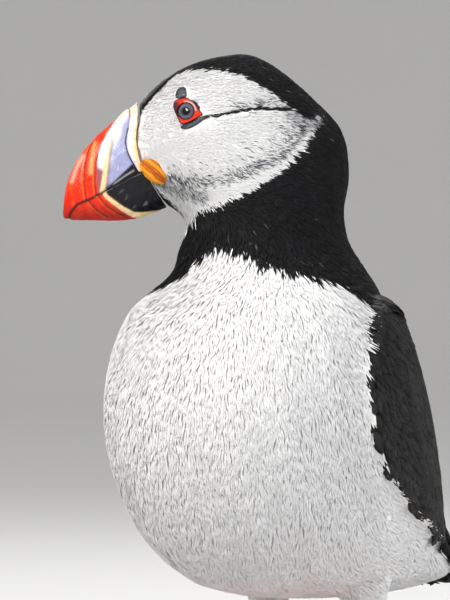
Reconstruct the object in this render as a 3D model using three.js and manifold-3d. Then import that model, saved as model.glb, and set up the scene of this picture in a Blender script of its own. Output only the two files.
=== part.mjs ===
// An Atlantic puffin in breeding dress, standing, with its head turned to its right.
// Millimetres, +Z up. The body faces -Y and the bird's left side is +X.
//
// Head, neck and trunk are one loft of rings, parted by thin cuts. Every ring lies across
// the bird's own middle plane, which turns from the bill's direction to the body's through
// the neck. A place in that plane is [forward of the neck's upright axis, above the floor].

import * as THREE from 'three';
import { LoftGeometry } from 'three/addons/geometries/LoftGeometry.js';
import * as BufferGeometryUtils from 'three/addons/utils/BufferGeometryUtils.js';
import Module from 'manifold-3d';

const wasm = await Module();
wasm.setup();

// Driving dimensions

const HEAD_TURN = 50; // degrees, towards the bird's right
const PARTING = 0.3; // clear width between neighbouring pieces
const RING_POINTS = 20;
const RINGS_PER_STEP = 2;
const BILL_PINCH = 0.45; // 0 is an ellipse, 1 a sharp lens

const WING_DEPTH = 2.8;
const PLATE_DEPTH = 0.9; // horny plates and rim round the eye
const CERE_DEPTH = 0.7;

const EYE = { at: [24.4, 188.8], radius: 4.4, bulge: 0.9, aperture: 3.0 };
const ROSETTE = { at: [34.0, 170.3], long: 4.4, short: 3.1, thick: 2.4, slope: 42 };

// Legs and feet: forward and height of the joints, half-widths there
const LEG = { spread: 20, thighTop: [-26, 50], thighRadius: 11, knee: [-25, 31], kneeRadius: 5.2,
  kneeShank: 3.1, middleShank: 2.3, ankle: [-20, 5.2], ankleRadius: 3.4 };
const TOES = [
  { name: 'inner', length: 30, turn: -24 },
  { name: 'middle', length: 39, turn: 1 },
  { name: 'outer', length: 37, turn: 25 },
];
const FOOT_TURN = 6; // degrees outwards
const TOE = { root: 2.7, tip: 1.6, knuckle: 0.35, knuckles: 3, sides: 7, rings: 6 };
const WEB = { thickness: 1.2, scallop: 0.14 };
const CLAW = { length: 8, root: 1.5, tip: 0.3, sides: 6, rings: 4 };

const TAIL = { root: [-82, 43.6], length: 47, halfRoot: 9, halfTip: 23, thickness: 2.2, droop: 9,
  feathers: 7, scallop: 1.1, rounding: 0.16 };
const PRIMARIES = { points: 8, rings: 7, root: 10, tip: 1.8, thickness: 1.3, leanRoot: 24, leanTip: 60 };
// Middle line of the folded quills: forward, height and distance from the middle plane
const PRIMARY_LINE = [[-52, 67, 27.5], [-66, 61, 20], [-82, 55.5, 13], [-99, 50, 8], [-114, 45.5, 4.2]];

// Rings: [over the back, under the throat or belly, half-width]

const BILL_RINGS = [
  [[62.4, 157.8], [62.1, 156.1], 0.6],
  [[62.0, 162.3], [61.1, 155.8], 1.7],
  [[60.8, 167.9], [58.3, 155.5], 2.9],
  [[58.3, 173.5], [53.6, 155.4], 4.0],
  [[54.2, 179.2], [46.8, 155.3], 5.3],
  [[47.8, 185.3], [38.6, 156.2], 6.9],
  [[39.2, 192.0], [30.4, 159.5], 9.6],
];
const HEAD_RINGS = [
  [[31.6, 198.9], [27.6, 158.6], 13.8],
  [[23.3, 203.6], [25.1, 156.1], 17.6],
  [[13.3, 206.3], [24.2, 154.3], 20.0],
  [[4.0, 206.8], [24.2, 152.7], 21.0],
  [[-7.1, 200.2], [24.5, 151.2], 21.3],
  [[-16.4, 191.8], [25.1, 149.5], 21.5],
  [[-23.6, 184.0], [26.0, 147.6], 22.0],
  [[-26.0, 174.7], [27.0, 145.2], 22.5],
];
const NECK_RINGS = [
  [[-26.0, 166.4], [27.5, 142.3], 23.5],
  [[-24.6, 157.5], [29.0, 138.8], 25.0],
  [[-26.5, 148.0], [34.0, 133.5], 30.5],
  [[-33.5, 137.0], [44.0, 125.5], 38.0],
];
const TRUNK_RINGS = [
  [[-41.5, 125.0], [51.5, 112.0], 42.8],
  [[-48.0, 112.0], [55.0, 98.0], 45.0],
  [[-54.0, 98.5], [54.0, 83.5], 45.2],
  [[-59.5, 84.5], [48.5, 68.5], 43.5],
  [[-65.0, 72.0], [39.0, 54.0], 39.5],
  [[-69.5, 62.5], [22.0, 42.5], 33.5],
  [[-73.5, 56.5], [-6.0, 38.0], 27.0],
  [[-78.5, 52.5], [-34.0, 37.0], 21.5],
  [[-84.5, 49.5], [-58.0, 37.5], 16.0],
  [[-91.0, 46.5], [-78.0, 39.5], 10.0],
];
const RINGS = [...BILL_RINGS, ...HEAD_RINGS, ...NECK_RINGS, ...TRUNK_RINGS];
const FIRST_HEAD = BILL_RINGS.length;
const FIRST_NECK = FIRST_HEAD + HEAD_RINGS.length;
const FIRST_TRUNK = FIRST_NECK + NECK_RINGS.length;

// Parting lines and outlines in the head's middle plane

const FACE_LINE = [[40.2, 196], [39.2, 191.9], [38.8, 187.3], [39.6, 182.0], [39.3, 177.4], [38.2, 173.0],
  [36.0, 168.4], [33.0, 163.5], [30.2, 159.3], [28.5, 156.0], [27.6, 152.0]];
const CERE_LINE = [[43.4, 196], [42.3, 190.2], [42.0, 183.7], [42.9, 180.1], [42.3, 176.7], [41.0, 173.8],
  [39.6, 171.4], [37.0, 167.0]];
const GAPE_LINE = [[31.0, 168.5], [34.5, 170.0], [38.4, 170.1], [43.4, 167.6], [48.4, 164.9], [52.3, 162.7],
  [55.2, 161.3], [58.0, 160.3], [60.0, 158.0], [60.9, 153.0]];
const SHIELD_LINE = [[48.9, 192.0], [47.4, 180.0], [47.6, 172.0], [48.7, 163.0]];
const RIDGE_LINE = [[51.0, 192.0], [49.4, 180.5], [49.4, 172.0], [50.5, 161.5]];
const CHIN_LINE = [[50.8, 167.0], [46.6, 160.2], [42.3, 157.6], [39.2, 153.0]];
const BAND_LINE = [[48.2, 167.0], [44.2, 162.2], [39.6, 159.8], [35.8, 157.6], [33.6, 153.0]];
const EYE_RIM = [[25.6, 193.6], [28.9, 189.9], [26.4, 183.8], [18.7, 187.7]];
const UPPER_PLATE = [[28.0, 192.2], [26.4, 196.2], [24.4, 196.3], [23.3, 193.0], [25.5, 194.4]];
const LOWER_PLATE = [[25.5, 183.3], [24.2, 181.7], [20.4, 183.2], [16.4, 185.8], [16.8, 187.8],
  [18.5, 186.8]];

// Parting lines and outlines in the trunk's middle plane

const THROAT_LINE = [[-36, 180], [34, 141]]; // in the head's plane, between head and neck
const SHOULDER_LINE = [[-46, 139], [56, 124]]; // between neck and trunk
const WAIST_LINE = [[-90, 86], [70, 63]]; // between breast and belly
const MANTLE_LINE = [[-22, 146], [-31, 120], [-41, 96], [-49, 76]]; // between breast and mantle
const RUMP_LINE = [[-70, 84], [-56, 62], [-44, 30]]; // between belly and rump
const WING_OUTLINE = [[-13, 131], [-4, 127], [3, 117], [7, 104], [5, 90], [-4, 77], [-20, 66], [-40, 58],
  [-58, 54], [-70, 56], [-66, 68], [-58, 84], [-49, 100], [-40, 115], [-28, 127]];

const MATERIALS = { // colour and roughness of each surface
  black: { color: 0x17161a, roughness: 0.75 },
  white: { color: 0xefece4, roughness: 0.85 },
  blue: { color: 0x6f7486, roughness: 0.5 },
  cream: { color: 0xe6d9a8, roughness: 0.55 },
  red: { color: 0xd2401c, roughness: 0.45 },
  dark: { color: 0x2a2624, roughness: 0.5 },
  yellow: { color: 0xe9a21c, roughness: 0.6 },
  rim: { color: 0xc8321a, roughness: 0.6 },
  slate: { color: 0x343842, roughness: 0.6 },
  iris: { color: 0x5a6068, roughness: 0.08 },
  leg: { color: 0xdd5a1b, roughness: 0.55 },
  claw: { color: 0x161312, roughness: 0.4 },
};

// Frames and solids

/** Unit vectors forward and to the left of a middle plane turned to the bird's right. */
function headings(turn) {
  const angle = THREE.MathUtils.degToRad(turn);
  const forward = new THREE.Vector3(-Math.sin(angle), -Math.cos(angle), 0);
  const left = new THREE.Vector3(Math.cos(angle), -Math.sin(angle), 0);
  return { forward, left };
}

/** A point from its place in a turned middle plane and its distance to the left of it. */
function placed([u, z], side, turn = 0) {
  const { forward, left } = headings(turn);
  return new THREE.Vector3(0, 0, z).addScaledVector(forward, u).addScaledVector(left, side);
}

/** A closed geometry as a solid that can be joined and cut. */
function solidFrom({ attributes, index }) {
  const bare = new THREE.BufferGeometry();
  bare.setAttribute('position', attributes.position);
  bare.setIndex(index);
  const merged = BufferGeometryUtils.mergeVertices(bare, 1e-4);
  return new wasm.Manifold(new wasm.Mesh({
    numProp: 3,
    vertProperties: new Float32Array(merged.attributes.position.array),
    triVerts: new Uint32Array(merged.index.array),
  }));
}

function geometryFrom(solid) {
  const { vertProperties, triVerts } = solid.getMesh();
  const geometry = new THREE.BufferGeometry();
  geometry.setAttribute('position', new THREE.BufferAttribute(vertProperties, 3));
  geometry.setIndex(new THREE.BufferAttribute(triVerts, 1));
  geometry.computeVertexNormals();
  return geometry;
}

/** A ball drawn out along three directions of its own. */
function ellipsoid(centre, radii, axes, segments = 12) {
  const geometry = new THREE.SphereGeometry(1, segments, Math.round(segments * 0.6));
  geometry.scale(...radii);
  geometry.applyMatrix4(new THREE.Matrix4().makeBasis(...axes));
  geometry.translate(centre.x, centre.y, centre.z);
  return solidFrom(geometry);
}

function ball(centre, radius, segments) {
  const axes = [new THREE.Vector3(1, 0, 0), new THREE.Vector3(0, 1, 0), new THREE.Vector3(0, 0, 1)];
  return ellipsoid(centre, [radius, radius, radius], axes, segments);
}

/** The body of a cut solid that holds a point. */
function bodyHolding(solid, point) {
  const probe = ball(point, 0.4, 6);
  const found = solid.decompose().find((body) => body.intersect(probe).volume() > 0);
  if (!found) throw new Error(`nothing at ${point.toArray()}`);
  return found;
}

/** A solid without the slivers that a cut leaves beside its main body. */
function mainBody(solid) {
  return solid.decompose().reduce((kept, body) => (body.volume() > kept.volume() ? body : kept));
}

/** A smooth line or closed outline through points, with so many steps to each stretch. */
function smooth(points, steps, closed = false) {
  const curve = new THREE.CatmullRomCurve3(points.map(([u, z]) => new THREE.Vector3(u, z, 0)), closed);
  const count = steps * (closed ? points.length : points.length - 1);
  const line = curve.getPoints(count).map(({ x, y }) => new THREE.Vector2(x, y));
  if (closed) line.pop();
  return line;
}

/** An outline in a turned middle plane, carried from one distance left of it to another. */
function prism(outline, from, to, turn) {
  const geometry = new THREE.ExtrudeGeometry(new THREE.Shape(outline), {
    depth: to - from,
    bevelEnabled: false,
  });
  const { forward, left } = headings(turn);
  const right = left.clone().negate();
  geometry.applyMatrix4(new THREE.Matrix4().makeBasis(forward, new THREE.Vector3(0, 0, 1), right));
  geometry.translate(left.x * to, left.y * to, 0);
  return solidFrom(geometry);
}

/** A thin wall that follows a line in a turned middle plane, to part what it crosses. */
function wall(points, reach, turn, thickness = PARTING) {
  const line = points.length > 3 ? smooth(points, 2) : points.map(([u, z]) => new THREE.Vector2(u, z));
  const above = [];
  const below = [];
  line.forEach((point, i) => {
    const before = line[Math.max(i - 1, 0)];
    const after = line[Math.min(i + 1, line.length - 1)];
    const across = after.clone().sub(before).normalize().rotateAround(new THREE.Vector2(), Math.PI / 2);
    above.push(point.clone().addScaledVector(across, thickness / 2));
    below.unshift(point.clone().addScaledVector(across, -thickness / 2));
  });
  return prism([...above, ...below], -reach, reach, turn);
}

// The body's loft

/** How far a ring's middle plane is turned: all of it at the head, none of it at the trunk. */
function turnAt(index) {
  return HEAD_TURN * (1 - THREE.MathUtils.smoothstep(index, FIRST_NECK - 0.5, FIRST_TRUNK));
}

function pinchAt(index) {
  return BILL_PINCH * (1 - THREE.MathUtils.smoothstep(index, FIRST_HEAD - 2, FIRST_HEAD + 1));
}

/** The bird from the bill's tip to the tail's root, grown outwards by a small depth. */
function wholeBody(growth) {
  const backs = new THREE.CatmullRomCurve3(RINGS.map(([[u, z], , half]) => new THREE.Vector3(u, z, half)));
  const fronts = new THREE.CatmullRomCurve3(RINGS.map(([, [u, z]]) => new THREE.Vector3(u, z, 0)));
  const steps = (RINGS.length - 1) * RINGS_PER_STEP;
  const sections = [];
  for (let i = 0; i <= steps; i += 1) {
    const back = backs.getPoint(i / steps);
    const front = fronts.getPoint(i / steps);
    const index = i / RINGS_PER_STEP;
    const rise = new THREE.Vector2(back.x - front.x, back.y - front.y);
    const middle = new THREE.Vector2((back.x + front.x) / 2, (back.y + front.y) / 2);
    const tall = rise.length() / 2 + growth;
    const wide = back.z + growth;
    rise.normalize();
    const section = [];
    for (let j = 0; j < RING_POINTS; j += 1) {
      const angle = (2 * Math.PI * j) / RING_POINTS;
      const side = Math.sign(Math.sin(angle)) * Math.abs(Math.sin(angle)) ** (1 + pinchAt(index));
      const place = middle.clone().addScaledVector(rise, tall * Math.cos(angle));
      section.push(placed([place.x, place.y], wide * side, turnAt(index)));
    }
    sections.push(section);
  }
  return solidFrom(new LoftGeometry(sections, { capStart: true, capEnd: true }));
}

const body = wholeBody(0);
const bodyCleared = wholeBody(PARTING);
const bodyForPlates = wholeBody(PARTING + PLATE_DEPTH);
const bodyForCere = wholeBody(CERE_DEPTH);
const bodyForWings = wholeBody(PARTING + WING_DEPTH);

/** The layer between two grown bodies that an outline marks out on one side of the bird. */
function layer(outer, outline, side, from, to, turn) {
  const marked = side > 0 ? prism(outline, from, to, turn) : prism(outline, -to, -from, turn);
  return mainBody(outer.subtract(bodyCleared).intersect(marked));
}

/** The head's surface beside a place in its middle plane: the point, and the way out of it. */
function headSurface(place, sign) {
  const hull = new THREE.Mesh(geometryFrom(body));
  const inwards = headings(HEAD_TURN).left.multiplyScalar(-sign);
  const [hit] = new THREE.Raycaster(placed(place, sign * 100, HEAD_TURN), inwards).intersectObject(hull);
  return { point: hit.point, normal: hit.face.normal };
}

// The group and its pieces

const puffin = new THREE.Group();

function addPiece(name, solid, colour) {
  const mesh = new THREE.Mesh(geometryFrom(solid), new THREE.MeshStandardMaterial(MATERIALS[colour]));
  mesh.name = name;
  puffin.add(mesh);
}

const SIDES = [
  { name: 'left', sign: 1 },
  { name: 'right', sign: -1 },
];

function eyeBall(sign, growth) {
  const { point, normal } = headSurface(EYE.at, sign);
  return ball(point.clone().addScaledVector(normal, EYE.bulge - EYE.radius), EYE.radius + growth, 12);
}

function rosette(sign, growth) {
  const { forward } = headings(HEAD_TURN);
  const { point, normal } = headSurface(ROSETTE.at, sign);
  const slope = THREE.MathUtils.degToRad(ROSETTE.slope);
  const along = forward.multiplyScalar(Math.cos(slope)).add(new THREE.Vector3(0, 0, Math.sin(slope)));
  along.addScaledVector(normal, -along.dot(normal)).normalize();
  const radii = [ROSETTE.long, ROSETTE.short, ROSETTE.thick].map((radius) => radius + growth);
  return ellipsoid(point, radii, [along, normal.clone().cross(along), normal]);
}

/** Head, neck, trunk and bill, parted from one body along their natural borders. */
function addBody() {
  const headCuts = [FACE_LINE, CERE_LINE, GAPE_LINE, SHIELD_LINE, RIDGE_LINE, CHIN_LINE, BAND_LINE];
  const billRange = wall([[24, 175], [70, 175]], 30, HEAD_TURN, 60);
  const billWalls = headCuts.map((line) => wall(line, 30, HEAD_TURN).intersect(billRange));
  const [faceWall] = billWalls;

  let head = body.subtract(faceWall).subtract(wall(THROAT_LINE, 34, HEAD_TURN));
  head = bodyHolding(head, placed([5, 180], 0, HEAD_TURN));
  for (const { sign } of SIDES) head = head.subtract(eyeBall(sign, PARTING));
  addPiece('head', mainBody(head), 'white');

  let trunk = body.subtract(wall(THROAT_LINE, 34, HEAD_TURN)).subtract(wall(SHOULDER_LINE, 60, 0));
  addPiece('neck', bodyHolding(trunk, placed([0, 145], 0)), 'black');
  trunk = bodyHolding(trunk, placed([0, 90], 0));
  trunk = trunk.subtract(wall(WAIST_LINE, 60, 0)).subtract(wall(RUMP_LINE, 60, 0));
  const upper = bodyHolding(trunk, placed([10, 100], 0)).subtract(wall(MANTLE_LINE, 60, 0));
  addPiece('breast', bodyHolding(upper, placed([10, 100], 0)), 'white');
  addPiece('mantle', bodyHolding(upper, placed([-48, 100], 0)), 'black');
  addPiece('belly', bodyHolding(trunk, placed([0, 60], 0)), 'white');
  addPiece('rump', bodyHolding(trunk, placed([-74, 50], 0)), 'black');

  const bill = billWalls.reduce((left, cut) => left.subtract(cut), body);
  const billAt = (place) => bodyHolding(bill, placed(place, 0, HEAD_TURN));
  addPiece('bill_shield', billAt([44.5, 176]), 'blue');
  addPiece('bill_ridge', billAt([48.5, 174]), 'cream');
  addPiece('bill_upper_tip', billAt([55, 170]), 'red');
  addPiece('bill_lower_base', billAt([38.5, 165]), 'dark');
  addPiece('bill_lower_band', billAt([44.4, 160.2]), 'cream');
  addPiece('bill_lower_tip', billAt([52, 158.5]), 'red');

  let cere = billWalls.reduce((left, cut) => left.subtract(cut), bodyForCere);
  cere = bodyHolding(cere, placed([40.6, 184], 0, HEAD_TURN));
  for (const { sign } of SIDES) cere = cere.subtract(rosette(sign, PARTING));
  addPiece('cere', mainBody(cere), 'cream');
}

/** Eye, its red rim and plates, and the fold of yellow skin at the gape, on both sides. */
function addFace() {
  for (const { name, sign } of SIDES) {
    addPiece(`eye_${name}`, eyeBall(sign, 0), 'iris');
    const plate = (outline, steps) => {
      const line = steps ? smooth(outline, steps, true) : outline.map(([u, z]) => new THREE.Vector2(u, z));
      return layer(bodyForPlates, line, sign, 6, 30, HEAD_TURN);
    };
    const opening = prism(smooth(circle(EYE.at, EYE.aperture, 12), 1, true), -30, 30, HEAD_TURN);
    addPiece(`eye_rim_${name}`, plate(EYE_RIM).subtract(opening).subtract(eyeBall(sign, PARTING)), 'rim');
    addPiece(`eye_plate_upper_${name}`, plate(UPPER_PLATE, 2), 'slate');
    addPiece(`eye_plate_lower_${name}`, plate(LOWER_PLATE, 2), 'slate');
    addPiece(`rosette_${name}`, mainBody(rosette(sign, 0).subtract(bodyCleared)), 'yellow');
  }
}

function circle([u, z], radius, count) {
  return Array.from({ length: count }, (_, i) => {
    const angle = (2 * Math.PI * i) / count;
    return [u + radius * Math.cos(angle), z + radius * Math.sin(angle)];
  });
}

/** The folded wing over the flank, and the long quills that reach back past it. */
function addWings() {
  const outline = smooth(WING_OUTLINE, 2, true);
  const around = [...WING_OUTLINE, WING_OUTLINE[0]];
  for (const { name, sign } of SIDES) {
    addPiece(`wing_${name}`, layer(bodyForWings, outline, sign, 8, 60, 0), 'black');
    const quills = primaries(sign).subtract(bodyCleared).subtract(prism(outline, -60, 60, 0))
      .subtract(wall(around, 60, 0, 2 * PARTING));
    addPiece(`primaries_${name}`, mainBody(quills), 'black');
  }
}

/** The stack of folded quills: a blade that leans over more and more towards its tip. */
function primaries(sign) {
  const leanRoot = THREE.MathUtils.degToRad(PRIMARIES.leanRoot);
  const leanTip = THREE.MathUtils.degToRad(PRIMARIES.leanTip);
  const line = PRIMARY_LINE.map(([u, z, side]) => placed([u, z], sign * side, 0));
  const curve = new THREE.CatmullRomCurve3(line);
  const sections = [];
  for (let i = 0; i <= PRIMARIES.rings; i += 1) {
    const share = i / PRIMARIES.rings;
    const centre = curve.getPoint(share);
    const tangent = curve.getTangent(share);
    const lean = THREE.MathUtils.lerp(leanRoot, leanTip, share);
    const chord = new THREE.Vector3(-sign * Math.sin(lean), 0, Math.cos(lean));
    chord.addScaledVector(tangent, -chord.dot(tangent)).normalize();
    const out = tangent.clone().cross(chord);
    const half = THREE.MathUtils.lerp(PRIMARIES.root, PRIMARIES.tip, share ** 1.3);
    sections.push(ringAround(centre, chord, out, half, PRIMARIES.thickness, PRIMARIES.points));
  }
  return solidFrom(new LoftGeometry(sections, { capStart: true, capEnd: true }));
}

/** An oval of points round a centre, wound to face along the loft. */
function ringAround(centre, across, out, halfAcross, halfOut, count) {
  return Array.from({ length: count }, (_, i) => {
    const angle = (2 * Math.PI * i) / count;
    return centre.clone().addScaledVector(across, halfAcross * Math.cos(angle))
      .addScaledVector(out, halfOut * Math.sin(angle));
  });
}

/** The short fan of tail feathers, its edge scalloped by their round tips. */
function addTail() {
  const { root, length, halfRoot, halfTip, thickness, droop, feathers, scallop, rounding } = TAIL;
  const edge = [new THREE.Vector2(-halfRoot, 0)];
  const steps = feathers * 4;
  for (let i = 0; i <= steps; i += 1) {
    const across = (2 * i) / steps - 1;
    const lobe = scallop * Math.abs(Math.sin((i / 4) * Math.PI));
    edge.push(new THREE.Vector2(halfTip * across, length * (1 - rounding * across ** 2) + lobe));
  }
  edge.push(new THREE.Vector2(halfRoot, 0));
  const shape = new THREE.Shape(edge);
  const fan = new THREE.ExtrudeGeometry(shape, { depth: thickness, bevelEnabled: false });
  fan.translate(0, 0, -thickness / 2);
  fan.rotateX(THREE.MathUtils.degToRad(-droop));
  fan.translate(0, -root[0], root[1]);
  addPiece('tail', mainBody(solidFrom(fan).subtract(bodyCleared)), 'black');
}

/** A tapering limb through points, as [place, side, half-width]. */
function limb(joints, count, rings) {
  const curve = new THREE.CatmullRomCurve3(joints.map(([place, side]) => placed(place, side, 0)));
  const widths = new THREE.CatmullRomCurve3(joints.map(([, , half], i) => new THREE.Vector3(half, i, 0)));
  const sections = [];
  for (let i = 0; i <= rings; i += 1) {
    const tangent = curve.getTangent(i / rings);
    const across = new THREE.Vector3(1, 0, 0).addScaledVector(tangent, -tangent.x).normalize();
    const half = widths.getPoint(i / rings).x;
    const out = tangent.clone().cross(across);
    sections.push(ringAround(curve.getPoint(i / rings), across, out, half, half, count));
  }
  return solidFrom(new LoftGeometry(sections, { capStart: true, capEnd: true }));
}

/** Where a toe's middle line runs, at a share of its length, seen from above. */
function toePoint(sign, { length, turn }, reach, height) {
  const angle = THREE.MathUtils.degToRad(turn + FOOT_TURN);
  const forward = LEG.ankle[0] + length * reach * Math.cos(angle);
  const side = LEG.spread + length * reach * Math.sin(angle);
  return placed([forward, height], sign * side, 0);
}

function toe(sign, which) {
  const sections = [];
  const along = toePoint(sign, which, 1, 0).sub(toePoint(sign, which, 0)).normalize();
  const across = new THREE.Vector3(0, 0, 1).cross(along);
  for (let i = 0; i <= TOE.rings; i += 1) {
    const share = i / TOE.rings;
    const knuckle = TOE.knuckle * Math.abs(Math.cos(share * TOE.knuckles * Math.PI));
    const half = THREE.MathUtils.lerp(TOE.root, TOE.tip, share) + knuckle;
    const centre = toePoint(sign, which, share, half * 0.8);
    sections.push(ringAround(centre, across, new THREE.Vector3(0, 0, 1), half, half, TOE.sides));
  }
  return solidFrom(new LoftGeometry(sections, { capStart: true, capEnd: true }));
}

/** The web between the toes, its free edge hollowed between their tips. */
function web(sign) {
  const flat = (point) => new THREE.Vector2(point.x, point.y);
  const edge = [];
  TOES.slice(1).forEach((next, i) => {
    const from = flat(toePoint(sign, TOES[i], 0.97, 0));
    const to = flat(toePoint(sign, next, 0.97, 0));
    const root = flat(toePoint(sign, TOES[i], 0));
    const middle = from.clone().lerp(to, 0.5).lerp(root, WEB.scallop);
    edge.push(...new THREE.QuadraticBezierCurve(from, middle, to).getPoints(4));
  });
  const root = flat(toePoint(sign, TOES[1], -0.04, 0));
  const shape = new THREE.Shape([root, ...edge]);
  return solidFrom(new THREE.ExtrudeGeometry(shape, { depth: WEB.thickness, bevelEnabled: false }));
}

function claw(sign, which) {
  const base = toePoint(sign, which, 1, 0);
  const root = toePoint(sign, which, 0, 0);
  const along = base.clone().sub(root).normalize();
  const across = new THREE.Vector3(0, 0, 1).cross(along);
  const sections = [];
  for (let i = 0; i <= CLAW.rings; i += 1) {
    const share = i / CLAW.rings;
    const half = THREE.MathUtils.lerp(CLAW.root, CLAW.tip, share);
    const height = half + 0.15 + 0.9 * Math.sin(Math.PI * Math.min(share + 0.25, 1));
    const centre = base.clone().addScaledVector(along, PARTING + CLAW.length * share);
    centre.z = height;
    sections.push(ringAround(centre, across, new THREE.Vector3(0, 0, 1), half * 0.8, half, CLAW.sides));
  }
  return solidFrom(new LoftGeometry(sections, { capStart: true, capEnd: true }));
}

/** Feathered thigh, bare shank, webbed foot on flat soles, and claws. */
function addLegs() {
  const below = new THREE.BoxGeometry(400, 400, 20);
  below.translate(0, 0, -10);
  const ground = solidFrom(below);
  for (const { name, sign } of SIDES) {
    const spread = sign * LEG.spread;
    const thigh = (growth) => limb([[LEG.thighTop, spread * 0.9, LEG.thighRadius + growth],
      [[LEG.knee[0], LEG.knee[1] - growth], spread, LEG.kneeRadius + growth]], 14, 4);
    addPiece(`thigh_${name}`, mainBody(thigh(0).subtract(bodyCleared)), 'white');
    const middle = [(LEG.knee[0] + LEG.ankle[0]) / 2, (LEG.knee[1] + LEG.ankle[1]) / 2];
    const shank = limb([[LEG.knee, spread, LEG.kneeShank], [middle, spread, LEG.middleShank],
      [LEG.ankle, spread, LEG.kneeShank]], 8, 5).subtract(thigh(PARTING));
    const ankle = placed(LEG.ankle, spread, 0);
    addPiece(`shank_${name}`, mainBody(shank.subtract(ball(ankle, LEG.ankleRadius + PARTING, 10))), 'leg');
    let foot = web(sign).add(ball(ankle, LEG.ankleRadius, 10));
    for (const which of TOES) foot = foot.add(toe(sign, which));
    addPiece(`foot_${name}`, mainBody(foot.subtract(ground)), 'leg');
    for (const which of TOES) addPiece(`claw_${name}_${which.name}`, claw(sign, which), 'claw');
  }
}

addBody();
addFace();
addWings();
addTail();
addLegs();

// The origin is the middle of the box round the bird, on the floor.
const box = new THREE.Box3().setFromObject(puffin);
puffin.position.set(-(box.min.x + box.max.x) / 2, -(box.min.y + box.max.y) / 2, 0);

export default puffin;
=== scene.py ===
"""A still Atlantic puffin: one skin, its plumage, bill, eyes, legs and a plain studio.

Metres throughout. Markings are drawn in millimetres in two side views, the head's and the
body's: u is forward of the neck's upright axis, z is above the floor, s is to the left.
"""
import math

import bmesh
import bpy
import numpy as np
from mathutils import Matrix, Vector
from mathutils.bvhtree import BVHTree


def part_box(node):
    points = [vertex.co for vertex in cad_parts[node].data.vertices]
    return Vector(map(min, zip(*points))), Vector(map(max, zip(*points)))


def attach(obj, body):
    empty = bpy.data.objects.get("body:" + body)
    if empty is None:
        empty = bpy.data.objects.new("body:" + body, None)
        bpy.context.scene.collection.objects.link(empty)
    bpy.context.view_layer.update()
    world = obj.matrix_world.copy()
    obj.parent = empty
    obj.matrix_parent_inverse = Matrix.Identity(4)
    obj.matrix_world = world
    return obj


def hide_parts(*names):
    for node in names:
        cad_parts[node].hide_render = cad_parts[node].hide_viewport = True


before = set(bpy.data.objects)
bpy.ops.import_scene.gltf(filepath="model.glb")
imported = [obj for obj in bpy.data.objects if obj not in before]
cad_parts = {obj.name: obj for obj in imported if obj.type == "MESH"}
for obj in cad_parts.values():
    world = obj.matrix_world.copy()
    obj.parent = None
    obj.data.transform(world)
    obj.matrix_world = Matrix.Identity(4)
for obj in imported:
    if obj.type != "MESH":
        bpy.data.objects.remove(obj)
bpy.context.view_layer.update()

bl_info = {
    "name": "Atlantic Puffin",
    "version": (1, 0, 0),
    "blender": (4, 5, 0),
    "location": "View3D > Sidebar > Puffin",
    "description": "Clothes the puffin's frame in skin, feathers, horn and bare parts",
    "category": "Object",
}

MM = 0.001
SIDES = ("left", "right")
COLOUR_LAYER = "plumage"
BILL_UPPER = ("bill_shield", "bill_ridge", "bill_upper_tip")
BILL_LOWER = ("bill_lower_base", "bill_lower_band", "bill_lower_tip")
FLESH = ("head", "neck", "breast", "mantle", "belly", "rump", "thigh_left", "thigh_right",
         "wing_left", "wing_right")

# Markings in the head's side view: (forward of the neck's axis, above the floor), mm

WHITE_FACE = ((39.4, 183.0), (38.9, 187.1), (37.9, 190.4), (36.1, 192.6), (33.1, 195.8), (30.4, 198.6),
              (27.8, 200.4), (24.5, 201.5), (21.0, 201.7), (13.5, 201.2), (8.8, 199.9), (4.1, 197.5),
              (-0.6, 194.5), (-4.6, 191.5), (-7.3, 189.1), (-10.7, 187.4), (-13.7, 186.8), (-16.4, 188.8),
              (-15.2, 184.8), (-12.7, 181.0), (-9.3, 175.7), (-4.6, 171.0), (2.1, 166.3), (9.5, 162.2),
              (16.9, 159.7), (21.8, 157.2), (24.6, 153.4), (26.6, 157.5), (29.4, 160.4), (33.4, 163.9),
              (37.0, 167.0), (42.0, 172.0), (42.0, 182.0))
EYE_CREASE = ((19.0, 187.3), (15.0, 187.3), (12.6, 187.6), (8.6, 188.6), (3.7, 189.3), (-3.6, 189.4),
              (-6.5, 189.2))
CHEEK_SHADE = ((28.0, 168.0), (23.9, 166.6), (15.0, 166.9), (6.9, 169.2), (-1.2, 173.0), (-7.3, 177.0),
               (-10.6, 181.9), (-11.6, 185.5))
BROW_SHADE = ((10.0, 190.2), (2.9, 191.0), (-3.2, 190.9), (-7.6, 188.6))
CHIN_SHADE = ((32.6, 166.6), (27.0, 164.6), (20.5, 162.6))
# A painted shadow: the dark line under and behind the rosette at the mouth's corner
GAPE_SHADOW_LINE = ((35.3, 166.9), (30.0, 167.6), (30.2, 169.2), (25.6, 166.6))
NAPE_PATCH = ((-8.6, 187.2), (-13.6, 185.6))

# The lower edge of the black collar: (degrees to the left of the breast's middle, height in mm)

COLLAR_EDGE = ((-180, 122), (-110, 126), (-75, 131), (-50, 134), (-31, 136.8), (-18, 139.2), (-13, 143),
               (-6, 146.5), (2, 148), (10, 147.7), (29, 144.8), (36, 142.4), (60, 139.3), (80, 136.6),
               (94, 131), (120, 126), (180, 122))

# The border between white underparts and dark upperparts in the body's side view

FLANK_EDGE = ((-4, 150), (-4, 131), (3, 121), (7, 107), (6, 92), (-3, 79), (-19, 67.5), (-40, 59.5),
              (-58, 54), (-72, 50), (-86, 45), (-130, 38), (-130, 150))

# Lines on the bill, same view as the head's

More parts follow.
